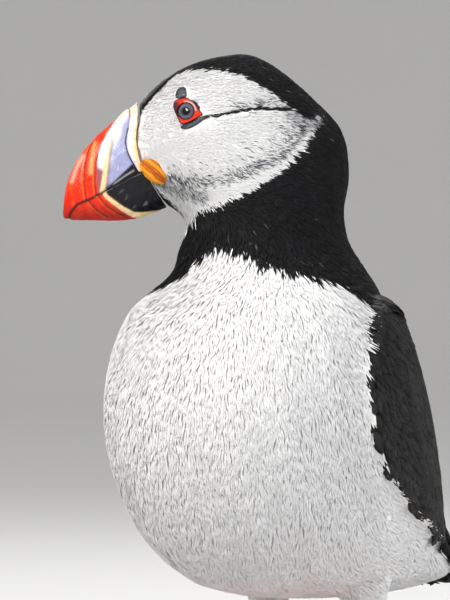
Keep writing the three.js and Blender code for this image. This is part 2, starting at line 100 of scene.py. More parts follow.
RED_EDGE = ((45.2, 188.2), (47.4, 184.8), (49.0, 182.3), (50.8, 178.6), (51.6, 175.7), (52.0, 172.9),
            (52.2, 168.3), (51.6, 162.5))
RIDGE_LINE = ((47.0, 181.8), (47.7, 179.0), (48.5, 175.7), (49.2, 171.4), (49.8, 167.1), (50.4, 163.0))
GROOVES = (((53.6, 179.6), (55.2, 176.2), (56.1, 172.0), (56.1, 167.0), (55.3, 161.3)),
           ((52.0, 175.6), (52.6, 171.5), (52.7, 167.0), (52.2, 162.6)))
# Painted highlights: pale streaks down the red tip, the second along its lit front edge
HIGHLIGHT_STREAKS = (((52.8, 179.2), (53.6, 174.9), (53.9, 170.0)), ((56.5, 175.2), (58.4, 171.6), (59.8, 167.5)))
SHIELD_FOOT = ((40.2, 173.6), (42.3, 171.4), (45.0, 168.9), (47.3, 166.7), (48.4, 165.4))
HIGHLIGHT_STREAK_TINTS = (((0.90, 0.27, 0.08), 0.75), ((0.90, 0.40, 0.28), 0.65))
SHIELD_GLEAM = ((40.6, 170.6), (43.4, 168.9), (47.3, 166.1))
GAPE_LINE = ((34.5, 170.0), (38.4, 170.1), (43.4, 167.6), (48.4, 164.9), (52.3, 162.7), (55.2, 161.3),
             (58.0, 160.3), (60.0, 158.0), (60.9, 155.0))
BAND_LINE = ((49.6, 163.6), (49.0, 162.6), (46.8, 160.9), (43.9, 158.8), (40.7, 157.1), (37.9, 157.0),
             (34.1, 157.7), (30.7, 158.5))
CERE_EDGE = ((42.4, 183.6), (42.9, 180.4), (42.8, 177.6), (42.2, 175.4), (41.0, 173.2), (40.2, 172.0))
CULMEN = ((47.0, 187.4), (43.5, 190.0), (39.0, 192.6))
MOUTH_CORNER = ((47.2, 165.9), (48.7, 165.1))
RIDGE_TOP = 180
LOWER_GROOVES = (((51.4, 162.4), (49.0, 159.6), (45.6, 157.4), (42.6, 156.2)),
                 ((54.6, 161.2), (52.0, 158.2), (48.6, 156.2)))

# Outlines round the eye, same view, and radii of the eye's rings, mm

EYE_CENTRE = (24.5, 188.5)
PUPIL_EDGE = (1.0, 1.65)
IRIS_EDGE = (2.15, 2.5)
RIM_INNER = 2.6
RIM_GLEAM = 3.025
RIM_OUTLINE = ((27.8, 192.2), (23.8, 193.0), (23.3, 191.9), (21.8, 190.9), (20.9, 189.3), (18.9, 187.5),
               (20.7, 186.4), (23.1, 185.0), (25.9, 184.1), (26.9, 186.2), (27.9, 188.6), (28.4, 190.4))
UPPER_PLATE = ((27.6, 192.4), (27.5, 194.0), (26.9, 195.4), (25.8, 196.1), (24.4, 195.9), (24.2, 194.6),
               (24.1, 193.0), (25.8, 192.6))
LOWER_PLATE = ((26.1, 184.0), (25.8, 183.0), (23.9, 182.9), (21.3, 184.1), (19.0, 185.8), (17.2, 187.2),
               (18.8, 186.9), (20.7, 186.0), (23.2, 184.6))

# Small tones that no setting changes

# Painted highlight: the grey sheen on the black forehead by the bill
FOREHEAD_HIGHLIGHT = (0.12, 0.12, 0.125)
# Painted highlight: the pale rim light along the forehead's ridge
FOREHEAD_RIDGE_HIGHLIGHT = (0.55, 0.54, 0.52)
DEEP_RED = (0.20, 0.008, 0.022)
HORN_SHINE = (0.16, 0.15, 0.17)
RIM_SHADOW = (0.05, 0.006, 0.006)
# Painted highlight on the eye's rim
RIM_GLEAM_PINK = (0.75, 0.45, 0.45)
PUPIL_TONE = (0.003, 0.003, 0.003)
EYE_RING_TONE = (0.006, 0.004, 0.005)
SCUTE_SEAM = (0.16, 0.03, 0.008, 1)

# The way the skin at the mouth's corner runs, forward and up, and its half-length, mm

GAPE_LIE = (0.76, 0.65)
GAPE_HALF = 4.6


# Frame of reference


def centre_of(node):
    """The middle of a node's box."""
    low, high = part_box(node)
    return np.array((low + high) / 2)


def unit(vectors):
    """Vectors brought to a length of one."""
    vectors = np.asarray(vectors, float)
    return vectors / np.maximum(np.linalg.norm(vectors, axis=-1, keepdims=True), 1e-12)


UP = np.array((0.0, 0.0, 1.0))
EYES = {side: centre_of("eye_" + side) for side in SIDES}
HEAD_LEFT = unit((EYES["left"] - EYES["right"]) * (1, 1, 0))
HEAD_FORWARD = np.cross(HEAD_LEFT, UP)
BETWEEN_EYES = (EYES["left"] + EYES["right"]) / 2
NECK_FOOT = (BETWEEN_EYES - HEAD_FORWARD * (BETWEEN_EYES[0] / HEAD_FORWARD[0])) * (1, 1, 0)


def head_place(points):
    """Places in the head's side view and their distance to its left, mm."""
    away = np.asarray(points) - NECK_FOOT
    return away @ HEAD_FORWARD / MM, away[..., 2] / MM, away @ HEAD_LEFT / MM


def body_place(points):
    """Places in the body's side view and their distance to its left, mm."""
    away = np.asarray(points) - NECK_FOOT
    return -away[..., 1] / MM, away[..., 2] / MM, away[..., 0] / MM


def from_head(u, z, s):
    """A point from its place in the head's side view, mm."""
    return NECK_FOOT + HEAD_FORWARD * u * MM + HEAD_LEFT * s * MM + UP * z * MM


# Distances in a side view


def nearest_on(u, z, line, closed=False):
    """The distance to a line, and which side of it: positive to the left of its run."""
    line = np.asarray(line, float)
    starts = line if closed else line[:-1]
    ends = np.roll(line, -1, 0) if closed else line[1:]
    best = np.full(np.shape(u), np.inf)
    side = np.zeros(np.shape(u))
    for (u0, z0), (u1, z1) in zip(starts, ends):
        du, dz = u1 - u0, z1 - z0
        share = np.clip(((u - u0) * du + (z - z0) * dz) / (du * du + dz * dz), 0, 1)
        gap = np.hypot(u - u0 - share * du, z - z0 - share * dz)
        nearer = gap < best
        best = np.where(nearer, gap, best)
        side = np.where(nearer, np.sign(du * (z - z0) - dz * (u - u0)), side)
    return best, side


def depth_in(u, z, outline):
    """How far inside a closed outline each place is; negative outside."""
    gap, _ = nearest_on(u, z, outline, closed=True)
    within = np.zeros(np.shape(u), bool)
    points = list(outline)
    for (u0, z0), (u1, z1) in zip(points, points[1:] + points[:1]):
        if z0 != z1:
            crosses = (z0 > z) != (z1 > z)
            within ^= crosses & (u < (u1 - u0) * (z - z0) / (z1 - z0) + u0)
    return np.where(within, gap, -gap)


def near(u, z, line, reach):
    """1 on a line, falling softly to about a third at the reach."""
    gap, _ = nearest_on(u, z, line)
    return np.exp(-((gap / reach) ** 2))


def smooth_step(value, low, high):
    """0 at the low end and 1 at the high end, easing in and out."""
    share = np.clip((value - low) / (high - low), 0, 1)
    return share * share * (3 - 2 * share)


def mix(a, b, share):
    """Part of the way from one value to another."""
    return a + (b - a) * share


def waves(points, length, seed, count=7):
    """Smooth, repeatable unevenness, mostly between -1.5 and 1.5."""
    rng = np.random.default_rng(seed)
    total = np.zeros(len(points))
    for _ in range(count):
        direction = unit(rng.normal(size=3)) * 2 * math.pi / (length * rng.uniform(0.7, 1.5))
        total += np.sin(points @ direction + rng.uniform(0, 2 * math.pi))
    return total / math.sqrt(count)


# Markings of the plumage, with some painted highlights and painted shadow


def collar_height(u, s):
    """Height of the collar's lower edge round the neck, mm."""
    angles, heights = zip(*COLLAR_EDGE)
    return np.interp(np.degrees(np.arctan2(s, u)), angles, heights)


def whiteness(points):
    """How far inside the white plumage each point is, mm; negative in the black."""
    head_u, z, _ = head_place(points)
    face = depth_in(head_u, z, WHITE_FACE)
    body_u, _, s = body_place(points)
    below_collar = collar_height(body_u, s) - z
    outside_upperparts = -depth_in(body_u, z, FLANK_EDGE)
    return np.maximum(face, np.minimum(below_collar, outside_upperparts)), face


def face_shade(u, z):
    """How much of the white face is flecked with dark, a painted shadow by the mouth's corner included,
    and how grey it is between the flecks.
    """
    cheek, side = nearest_on(u, z, CHEEK_SHADE)
    above = np.where(side < 0, cheek, 0)
    below = np.where(side >= 0, cheek, 0)
    spread = mix(2.6, 4.4, smooth_step(-u, -16, 4))
    shade = 0.62 * np.exp(-((above / spread) ** 1.5) - (below / 1.1) ** 2)
    shade = np.maximum(shade, 0.42 * near(u, z, BROW_SHADE, 1.7))
    chin = near(u, z, CHIN_SHADE, 2.3)
    nape = near(u, z, NAPE_PATCH, 3.4)
    shade = np.maximum(shade, 0.5 * np.maximum(chin, nape))
    edge = depth_in(u, z, WHITE_FACE)
    rim = (1 - smooth_step(edge, 1.2, 2.4)) * (z < 181) * (z < 163 + 0.8 * np.maximum(24 - u, 0))
    grey = np.maximum(0.55 * nape, 0.5 * chin)
    # Painted shadow under the rosette, drawn as dense dark flecks
    gape = near(u, z, GAPE_SHADOW_LINE, 0.8)
    return np.maximum(shade * (1 - rim), 0.95 * gape), grey * (1 - rim)


def plumage_colours(points, rng, ragged=0.3, flecks=True):
    """The colour of feathers whose coat's surface is at these points.

    Without flecks it is the skin's, whose dark runs on a little way under the white flank.
    """
    colours = bpy.context.scene.puffin_plumage
    white, black = np.array(colours.white), np.array(colours.black)
    grey, brown = np.array(colours.face_grey), np.array(colours.back)
    head_u, z, _ = head_place(points)
    white_depth, face_depth = whiteness(points)
    if not flecks:
        white_depth = white_depth - 1.5 * smooth_step(136 - z, 0, 6)
    jitter = rng.normal(0, ragged, len(points)) * mix(2.0, 1.0, smooth_step(z, 140, 156))
    jitter = jitter + 0.4 * waves(points, 2.2 * MM, 11)
    jitter = jitter * mix(1.0, 0.25, smooth_step(head_u, 22, 29) * (z > 184))
    is_white = (white_depth + jitter > 0)[:, None]
    on_face = (face_depth + jitter > 0)
    back = smooth_step(146 - z, 0, 50)[:, None]
    dark = mix(black, brown, back) * (1 + 0.3 * rng.normal(size=(len(points), 1)).clip(-1.5, 2.5))
    glint = ((rng.random(len(points)) < 0.005) & (z > 140))[:, None]
    dark = np.where(glint, dark + 0.06, dark)
    # Painted highlight: the black forehead by the bill greyed as if lit
    forehead_highlight = smooth_step(head_u, 25, 33) * (z > 188) * smooth_step(-face_depth, 0.7, 1.3)
    dark = mix(dark, np.array(FOREHEAD_HIGHLIGHT), 0.8 * forehead_highlight[:, None])
    # Painted highlight: paler black feathers along the forehead's ridge, as if rim lit
    ridge = smooth_step(head_u, 31, 36) * (z > 188) * smooth_step(-face_depth, 1.5, 2.6)
    dark = mix(dark, np.array(FOREHEAD_RIDGE_HIGHLIGHT), 0.75 * ridge[:, None])
    pale = white * (1 + 0.02 * rng.normal(size=(len(points), 1)).clip(-2, 1.5))
    shade, greyness = face_shade(head_u, z)
    shade, greyness = np.where(on_face, shade, 0), np.where(on_face, greyness, 0)
    patchy = shade + 0.14 * waves(points, 2.4 * MM, 5) * (shade > 0.04)
    fleck = rng.random(len(points)) < patchy if flecks else patchy > 0.55
    tone = rng.uniform(0.03, 0.6, (len(points), 1))
    pale = mix(pale, grey * 0.8, greyness[:, None])
    pale = np.where(fleck[:, None], grey * tone, pale * (1 - 0.12 * shade[:, None]))
    crease = on_face & (nearest_on(head_u, z, EYE_CREASE)[0] < np.interp(head_u, (9, 14), (0.42, 0.5)))
    pale = np.where(crease[:, None], black, pale)
    return np.where(is_white, pale, dark).clip(0.004, 0.95)


# Meshes


def add_object(name, mesh):
    """Puts a mesh into the scene as a piece."""
    piece = bpy.data.objects.new(name, mesh)
    bpy.context.scene.collection.objects.link(piece)
    return piece


def mesh_from(name, points, faces):
    """A mesh from an array of points and one array of triangles or quads."""
    mesh = bpy.data.meshes.new(name)
    corners = faces.shape[1]
    mesh.vertices.add(len(points))
    mesh.vertices.foreach_set("co", np.ascontiguousarray(points, np.float32).ravel())
    mesh.loops.add(faces.size)
    mesh.loops.foreach_set("vertex_index", np.ascontiguousarray(faces, np.int32).ravel())
    mesh.polygons.add(len(faces))
    mesh.polygons.foreach_set("loop_start", np.arange(0, faces.size, corners, dtype=np.int32))
    mesh.update(calc_edges=True)
    return mesh


def points_of(mesh):
    """A mesh's points as an array."""
    flat = np.empty(len(mesh.vertices) * 3, np.float32)
    mesh.vertices.foreach_get("co", flat)
    return flat.reshape(-1, 3).astype(float)


def normals_of(mesh):
    """The outward direction at each point of a mesh."""
    flat = np.empty(len(mesh.vertices) * 3, np.float32)
    mesh.vertex_normals.foreach_get("vector", flat)
    return flat.reshape(-1, 3).astype(float)


def set_points(mesh, points):
    """Moves a mesh's points to new places."""
    mesh.vertices.foreach_set("co", np.ascontiguousarray(points, np.float32).ravel())
    mesh.update()


def set_colours(mesh, colours):
    """Stores one colour for each point."""
    layer = mesh.color_attributes.new(COLOUR_LAYER, "FLOAT_COLOR", "POINT")
    full = np.ones((len(mesh.vertices), 4), np.float32)
    full[:, :3] = colours
    layer.data.foreach_set("color", full.ravel())


def gathered(name, nodes):
    """A new piece with the shapes of these nodes, as they lie."""
    shape = bmesh.new()
    for node in nodes:
        shape.from_mesh(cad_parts[node].data)
    bmesh.ops.remove_doubles(shape, verts=shape.verts, dist=0.002 * MM)
    mesh = bpy.data.meshes.new(name)
    shape.to_mesh(mesh)
    shape.free()
    return add_object(name, mesh)


def evened(piece, voxel, rounds):
    """Fuses a piece into one even mesh and rounds its facets off."""
    remesh = piece.modifiers.new("even", "REMESH")
    remesh.mode = "VOXEL"
    remesh.voxel_size = voxel
    rounding = piece.modifiers.new("rounding", "SMOOTH")
    rounding.factor = 0.5
    rounding.iterations = rounds
    bpy.context.view_layer.update()
    ready = piece.evaluated_get(bpy.context.evaluated_depsgraph_get())
    mesh = bpy.data.meshes.new_from_object(ready)
    old = piece.data
    piece.modifiers.clear()
    piece.data = mesh
    mesh.name = piece.name
    bpy.data.meshes.remove(old)
    if not mesh.polygons:
        raise RuntimeError(f"{piece.name} came out empty")
    shade_smooth(mesh)


def shade_smooth(mesh):
    """Rounds a mesh's shading."""
    mesh.polygons.foreach_set("use_smooth", np.ones(len(mesh.polygons), bool))
    mesh.update()


def swell(mesh, amounts):
    """Moves each point along its normal."""
    set_points(mesh, points_of(mesh) + normals_of(mesh) * np.asarray(amounts)[:, None])


def unwrap(piece):
    """An unwrap of the piece's own shape, for its painted finish."""
    for other in bpy.context.selected_objects:
        other.select_set(False)
    piece.data.uv_layers.new(name="OFBake")
    piece.select_set(True)
    bpy.context.view_layer.objects.active = piece
    bpy.ops.object.mode_set(mode="EDIT")
    bpy.ops.mesh.select_all(action="SELECT")
    bpy.ops.uv.smart_project(angle_limit=math.radians(66), island_margin=0.002)
    bpy.ops.object.mode_set(mode="OBJECT")
    piece.select_set(False)


def finish_piece(piece, material, slot, *nodes):
    """Gives a piece its finish and body, and the nodes it stands in for; its slot is not used."""
    piece.data.materials.clear()
    piece.data.materials.append(material)
    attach(piece, "root")
    if nodes:
        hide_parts(*nodes)


# Shared effects of the materials


def new_group(name, inputs, outputs):
    """An empty shader node group: inputs are (name, kind, default), outputs (name, kind)."""
    group = bpy.data.node_groups.new(name, "ShaderNodeTree")
    for label, kind, default in inputs:
        socket = group.interface.new_socket(label, in_out="INPUT", socket_type=kind)
        socket.default_value = default
    for label, kind in outputs:
        group.interface.new_socket(label, in_out="OUTPUT", socket_type=kind)
    ends = group.nodes.new("NodeGroupInput"), group.nodes.new("NodeGroupOutput")
    return group, *ends


def put(tree, kind, links=(), **settings):
    """Adds a node, sets its properties and sockets, and links sockets to it."""
    node = tree.nodes.new(kind)
    for key, value in settings.items():
        setattr(node, key, value)
    for socket, source in dict(links).items():
        if isinstance(source, bpy.types.NodeSocket):
            tree.links.new(source, node.inputs[socket])
        else:
            node.inputs[socket].default_value = source
    return node


def mottle_group():
    """Uneven colour: a colour made lighter and darker in soft patches and fine flecks."""
    name = "Mottle"
    if name in bpy.data.node_groups:
        return bpy.data.node_groups[name]
    group, start, end = new_group(name, (
        ("Colour", "NodeSocketColor", (0.5, 0.5, 0.5, 1)), ("Patch Scale", "NodeSocketFloat", 120.0),
        ("Fleck Scale", "NodeSocketFloat", 1500.0), ("Depth", "NodeSocketFloat", 0.2)), (
        ("Colour", "NodeSocketColor"), ("Mask", "NodeSocketFloat")))
    place = put(group, "ShaderNodeTexCoord").outputs["Object"]
    patch = put(group, "ShaderNodeTexNoise", {"Vector": place, "Scale": start.outputs["Patch Scale"],
                                              "Detail": 3.0})
    fleck = put(group, "ShaderNodeTexNoise", {"Vector": place, "Scale": start.outputs["Fleck Scale"],
                                              "Detail": 2.0})
    both = put(group, "ShaderNodeMath", {0: patch.outputs[0], 1: fleck.outputs[0]}, operation="ADD")
    level = put(group, "ShaderNodeMath", {0: both.outputs[0], 1: 1.0}, operation="SUBTRACT")
    depth = put(group, "ShaderNodeMath", {0: level.outputs[0], 1: start.outputs["Depth"]},
                operation="MULTIPLY")
    gain = put(group, "ShaderNodeMath", {0: depth.outputs[0], 1: 1.0}, operation="ADD")
    tinted = put(group, "ShaderNodeVectorMath", {0: start.outputs["Colour"], 1: gain.outputs[0]},
                 operation="MULTIPLY")
    group.links.new(tinted.outputs[0], end.inputs["Colour"])
    group.links.new(both.outputs[0], end.inputs["Mask"])
    return group


def growth_group():
    """Fine wavering lines, as in horn and feather vanes, as a height."""
    name = "Growth Lines"
    if name in bpy.data.node_groups:
        return bpy.data.node_groups[name]
    group, start, end = new_group(name, (
        ("Scale", "NodeSocketFloat", 500.0), ("Waver", "NodeSocketFloat", 3.0)), (
        ("Height", "NodeSocketFloat"),))
    place = put(group, "ShaderNodeTexCoord").outputs["Object"]
    line = put(group, "ShaderNodeTexWave", {"Vector": place, "Scale": start.outputs["Scale"],
                                            "Distortion": start.outputs["Waver"], "Detail": 2.0,
                                            "Detail Scale": 1.5}, bands_direction="DIAGONAL")
    grain = put(group, "ShaderNodeTexNoise", {"Vector": place, "Scale": start.outputs["Scale"]})
    both = put(group, "ShaderNodeMath", {0: line.outputs["Fac"], 1: grain.outputs[0]}, operation="ADD")
    group.links.new(both.outputs[0], end.inputs["Height"])
    return group


def scale_group():
    """Small close scales, as on bare legs: a height and the dark seams between them."""
    name = "Scutes"
    if name in bpy.data.node_groups:
        return bpy.data.node_groups[name]
    group, start, end = new_group(name, (("Scale", "NodeSocketFloat", 700.0),), (
        ("Height", "NodeSocketFloat"), ("Seam", "NodeSocketFloat")))
    place = put(group, "ShaderNodeTexCoord").outputs["Object"]
    cell = put(group, "ShaderNodeTexVoronoi", {"Vector": place, "Scale": start.outputs["Scale"]},
               feature="DISTANCE_TO_EDGE")
    seam = put(group, "ShaderNodeMapRange", {"Value": cell.outputs["Distance"], "From Min": 0.0,
                                             "From Max": 0.16, "To Min": 1.0, "To Max": 0.0})
    rounded = put(group, "ShaderNodeMapRange", {"Value": cell.outputs["Distance"], "From Min": 0.0,
                                                "From Max": 0.35})
    group.links.new(rounded.outputs[0], end.inputs["Height"])
    group.links.new(seam.outputs[0], end.inputs["Seam"])
    return group


def start_material(name, roughness, **settings):
    """A material with a bare Principled BSDF; settings go on its sockets."""
    material = bpy.data.materials.new(name)
    material.use_nodes = True
    tree = material.node_tree
    tree.nodes.clear()
    shader = put(tree, "ShaderNodeBsdfPrincipled", {"Roughness": roughness})
    for label, value in settings.items():
        shader.inputs[label.replace("_", " ")].default_value = value
    output = put(tree, "ShaderNodeOutputMaterial")
    tree.links.new(shader.outputs[0], output.inputs["Surface"])
    return material, tree, shader


def grouped(tree, group, **sockets):
    """Places a shared effect in a material with its own values."""
    node = tree.nodes.new("ShaderNodeGroup")
    node.node_tree = group
    for label, value in sockets.items():
        node.inputs[label.replace("_", " ")].default_value = value
    return node


def add_bump(tree, shader, height, strength, distance):
    """Turns a height into fine relief."""
    bump = put(tree, "ShaderNodeBump", {"Height": height, "Strength": strength, "Distance": distance})
    tree.links.new(bump.outputs[0], shader.inputs["Normal"])


def vary_roughness(tree, shader, mask, low, high):
    """Lets a mask carry the roughness between two values."""
    spread = put(tree, "ShaderNodeMapRange", {"Value": mask, "From Min": 0.6, "From Max": 1.4,
                                              "To Min": low, "To Max": high})
    tree.links.new(spread.outputs[0], shader.inputs["Roughness"])


def painted_material(name, low, high, depth, bump, patch, fleck=1500.0, lines=900.0, **settings):
    """A finish whose colour is stored on the mesh, made uneven and finely lined.

    Its roughness runs from low to high.
    """
    if name in bpy.data.materials:
        return bpy.data.materials[name]
    material, tree, shader = start_material(name, (low + high) / 2, **settings)
    stored = put(tree, "ShaderNodeAttribute", attribute_name=COLOUR_LAYER)
    mottle = grouped(tree, mottle_group(), Patch_Scale=patch, Fleck_Scale=fleck, Depth=depth)
    tree.links.new(stored.outputs["Color"], mottle.inputs["Colour"])
    tree.links.new(mottle.outputs["Colour"], shader.inputs["Base Color"])
    vary_roughness(tree, shader, mottle.outputs["Mask"], low, high)
    growth = grouped(tree, growth_group(), Scale=lines, Waver=4.0)
    add_bump(tree, shader, growth.outputs["Height"], bump, 0.0004)
    return material


def feather_material():
    """Soft white feather that lets a little light through."""
    return painted_material("White Feather", 0.6, 0.85, 0.06, 0.05, patch=90.0, Specular_IOR_Level=0.15,
                            Subsurface_Weight=0.5, Subsurface_Scale=0.002,
                            Subsurface_Radius=(1.0, 1.0, 1.0))


def dark_feather_material():
    """Soft black feather."""
    return painted_material("Dark Feather", 0.6, 0.85, 0.2, 0.1, patch=90.0, Specular_IOR_Level=0.12)


def vane_material():
    """Firm dark feather with fine barbs."""
    return painted_material("Vane", 0.55, 0.8, 0.2, 0.3, patch=60.0, lines=1400.0,
                            Specular_IOR_Level=0.14)


def horn_material():
    """Smooth bill horn."""
    return painted_material("Bill Horn", 0.24, 0.42, 0.16, 0.12, patch=260.0, fleck=1200.0, lines=420.0,
                            Specular_IOR_Level=0.16, Coat_Weight=0.05, Coat_Roughness=0.15)


def bare_skin_material():
    """Wrinkled bare skin."""
    return painted_material("Bare Skin", 0.35, 0.6, 0.3, 0.5, patch=500.0, fleck=2600.0, lines=1800.0,
                            Specular_IOR_Level=0.3)


def claw_material():
    """Polished claw horn."""
    return painted_material("Claw Horn", 0.22, 0.4, 0.3, 0.2, patch=300.0, lines=1200.0)


def eye_material():
    """A wet eye."""
    return painted_material("Wet Eye", 0.04, 0.09, 0.1, 0.015, patch=900.0, fleck=4000.0, lines=1600.0,
                            Specular_IOR_Level=0.15, Coat_Weight=0.5, Coat_Roughness=0.02)


def leg_material():
    """Scaled skin of legs and webs."""
    name = "Scaly Leg"
    if name in bpy.data.materials:
        return bpy.data.materials[name]
    material, tree, shader = start_material(name, 0.45, Specular_IOR_Level=0.25)
    stored = put(tree, "ShaderNodeAttribute", attribute_name=COLOUR_LAYER)
    mottle = grouped(tree, mottle_group(), Patch_Scale=180.0, Fleck_Scale=1400.0, Depth=0.3)
    scutes = grouped(tree, scale_group(), Scale=620.0)
    tree.links.new(stored.outputs["Color"], mottle.inputs["Colour"])
    seamed = put(tree, "ShaderNodeMix", {0: scutes.outputs["Seam"], 6: mottle.outputs["Colour"],
                                         7: SCUTE_SEAM}, data_type="RGBA")
    tree.links.new(seamed.outputs[2], shader.inputs["Base Color"])
    vary_roughness(tree, shader, mottle.outputs["Mask"], 0.32, 0.55)
    add_bump(tree, shader, scutes.outputs["Height"], 0.6, 0.0004)
    return material


# Surfaces that feathers grow on


class Surface:
    """A mesh as arrays of triangle corners, with a quick way to find its nearest point."""

    def __init__(self, mesh, depths):
        mesh.calc_loop_triangles()
        count = len(mesh.loop_triangles)
        corners = np.empty(count * 3, np.int32)
        loops = np.empty(count * 3, np.int32)
        mesh.loop_triangles.foreach_get("vertices", corners)
        mesh.loop_triangles.foreach_get("loops", loops)
        flat = np.empty(len(mesh.loops) * 2, np.float32)
        mesh.uv_layers["OFBake"].data.foreach_get("uv", flat)
        points = points_of(mesh)
        self.points = points[corners].reshape(-1, 3, 3)
        self.normals = normals_of(mesh)[corners].reshape(-1, 3, 3)
        self.uvs = flat.reshape(-1, 2)[loops].reshape(-1, 3, 2)
        self.depths = np.asarray(depths)[corners].reshape(-1, 3, 1)
        sides = self.points[:, 1:] - self.points[:, :1]
        self.areas = np.linalg.norm(np.cross(sides[:, 0], sides[:, 1]), axis=1) / 2
        self.centres = self.points.mean(1)
        self.tree = BVHTree.FromPolygons(points.tolist(), corners.reshape(-1, 3).tolist())

    def scatter(self, density, rng):
        """Random roots, as many per mm2 as each triangle's density: points, normals, UVs, depths."""
        counts = rng.poisson(self.areas / MM ** 2 * density)
        picked = np.repeat(np.arange(len(counts)), counts)
        a, b = rng.random((2, len(picked)))
        folded = a + b > 1
        a, b = np.where(folded, 1 - a, a), np.where(folded, 1 - b, b)
        shares = np.stack((1 - a - b, a, b), 1)[..., None]
        roots = [(values[picked] * shares).sum(1)
                 for values in (self.points, self.normals, self.uvs, self.depths)]
        roots[1] = unit(roots[1])
        roots[3] = roots[3][:, 0]
        return roots

    def laid(self, points, heights):
        """The places at these heights above the surface's points nearest to the given ones."""
        out = np.empty_like(points)
        for index, (point, height) in enumerate(zip(points.tolist(), heights.tolist())):
            place, normal, _, _ = self.tree.find_nearest(point)
            out[index] = place + normal * height
        return out


def tree_of(nodes):
    """A search tree over the frame's own nodes."""
    points, faces = [], []
    for node in nodes:
        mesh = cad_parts[node].data
        start = len(points)
        points += [tuple(vertex.co) for vertex in mesh.vertices]
        faces += [[start + index for index in polygon.vertices] for polygon in mesh.polygons]
    return BVHTree.FromPolygons(points, faces)


def gap_to(tree, points, reach=0.006):
    """The distance to a tree's nearest face, no more than the reach."""
    out = np.full(len(points), reach)
    for index, point in enumerate(points.tolist()):
        gap = tree.find_nearest(point, reach)[3]
        if gap is not None:
            out[index] = gap
    return out


def gap_to_eye(points):
    """The distance in the head's side view to the bare parts round the eye, in metres."""
    u, z, _ = head_place(points)
    inside = [depth_in(u, z, outline) for outline in (RIM_OUTLINE, UPPER_PLATE, LOWER_PLATE)]
    return (-np.max(inside, 0)).clip(0) * MM


def bare_nodes(*kinds):
    """Names of the frame's nodes that start with these words."""
    return [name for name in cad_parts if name.startswith(kinds)]


def flow_at(points, normals, rng, stray):
    """The lie of the coat: back from the bill over the head, then down and back along the body."""
    head_u, z, _ = head_place(points)
    by_crease = np.exp(-((nearest_on(head_u, z, EYE_CREASE)[0] / 1.8) ** 2))[:, None]
    head = -HEAD_FORWARD * 0.94 + UP * mix(-0.33, 0.09, by_crease)
    rearward = smooth_step(points[:, 1] / MM, -62, -12)[:, None]
    body = mix(np.array((0.0, 0.12, -1.0)), np.array((0.0, 0.88, -0.48)), rearward)
    share = smooth_step(z, 142, 166)[:, None]
    flow = mix(body, head, share)
    flow = flow - normals * (flow * normals).sum(1, keepdims=True)
    flow = unit(flow)
    side = np.cross(normals, flow)
    angle = (stray * rng.normal(size=len(points)) + 0.18 * waves(points, 9 * MM, 21))[:, None]
    return unit(flow * np.cos(angle) + side * np.sin(angle))


def skin_depth(points, bare):
    """How far the skin lies inside the outline: the coat is thin on the head and at bare parts."""
    _, z, _ = head_place(points)
    plumage = bpy.context.scene.puffin_plumage
    full = mix(plumage.body_depth, plumage.head_depth, smooth_step(z, 128, 160))
    return np.minimum(full, 0.25 * MM + 0.45 * gap_to(bare, points))


def largest_part(mesh):
    """Keeps only the largest part of a fused mesh, which is its outer shell."""
    shape = bmesh.new()
    shape.from_mesh(mesh)
    left = set(shape.verts)
    parts = []
    while left:
        edge = [left.pop()]
        part = list(edge)
        while edge:
            vertex = edge.pop()
            for link in vertex.link_edges:
                other = link.other_vert(vertex)
                if other in left:
                    left.discard(other)
                    part.append(other)
                    edge.append(other)
        parts.append(part)
    parts.sort(key=len)
    loose = [vertex for part in parts[:-1] for vertex in part]
    bmesh.ops.delete(shape, geom=loose, context="VERTS")
    shape.to_mesh(mesh)
    shape.free()
    shade_smooth(mesh)


def fused(name, nodes, voxel, rounds, overlap=0.2):
    """A rounded, closed piece fused from some nodes; voxel and overlap are in mm."""
    piece = gathered(name, nodes)
    swelling = piece.modifiers.new("overlap", "DISPLACE")
    swelling.strength = overlap * MM
    swelling.mid_level = 0.0
    evened(piece, voxel * MM, rounds)
    largest_part(piece.data)
    return piece


# Tufts and vanes. A tuft has ten triangles, and a piece of coat fewer than 200,000. Stations are
# shares of a feather's length, and the widths there are shares of its breadth.

TUFT_LIMIT = 19900
TUFT_POINTS = 7
TUFT_HEIGHT = 0.17
TUFT_RING = np.radians((90.0, 210.0, 330.0))
TUFT_FACES = np.array([(2, 1, 0)] + [face for i, j in ((0, 1), (1, 2), (2, 0)) for face in (
    (i, j, j + 3), (i, j + 3, i + 3), (i + 3, j + 3, 6))])
TUFT_PATCH = np.array(((0.2, 0.0), (0.8, 0.0), (0.5, 0.1), (0.0, 0.5), (1.0, 0.5), (0.5, 0.6),
                       (0.5, 1.0)))
# Painted shade: each tuft a little darker at its root and lighter at its tip
TUFT_ROOT_SHADE = np.array((0.93,) * 3 + (1.0,) * 3 + (1.02,))
VANE_STATIONS = (0.0, 0.12, 0.4, 0.72, 0.92)
VANE_WIDTHS = (0.22, 0.62, 1.0, 0.94, 0.56)
QUILL_STATIONS = (0.0, 0.12, 0.35, 0.6, 0.8, 0.9, 0.96, 0.985, 1.0)
QUILL_WIDTHS = (0.3, 0.7, 0.95, 1.0, 0.98, 0.88, 0.66, 0.42)

# Long feathers: how many, and where each row of coverts starts, mm behind the rump's end

PRIMARIES = 9
TAIL_FEATHERS = 14
COVERT_ROWS = (-16, -12, -8, -4, 0)
COVERTS = 11


def vane_faces(stations):
    """Triangles of one vane with so many stations."""
    faces = [(3, 2, 1), (3, 1, 0)]
    for ring in range(stations - 1):
        for i in range(4):
            j = (i + 1) % 4
            low, high = ring * 4, ring * 4 + 4
            faces += [(low + i, low + j, high + j), (low + i, high + j, high + i)]
    last, tip = stations * 4 - 4, stations * 4
    return np.array(faces + [(last + i, last + (i + 1) % 4, tip) for i in range(4)])


def repeated(faces, count, each):
    """One feather's triangles, for many feathers one after another."""
    return (faces[None] + np.arange(count)[:, None, None] * each).reshape(-1, 3)


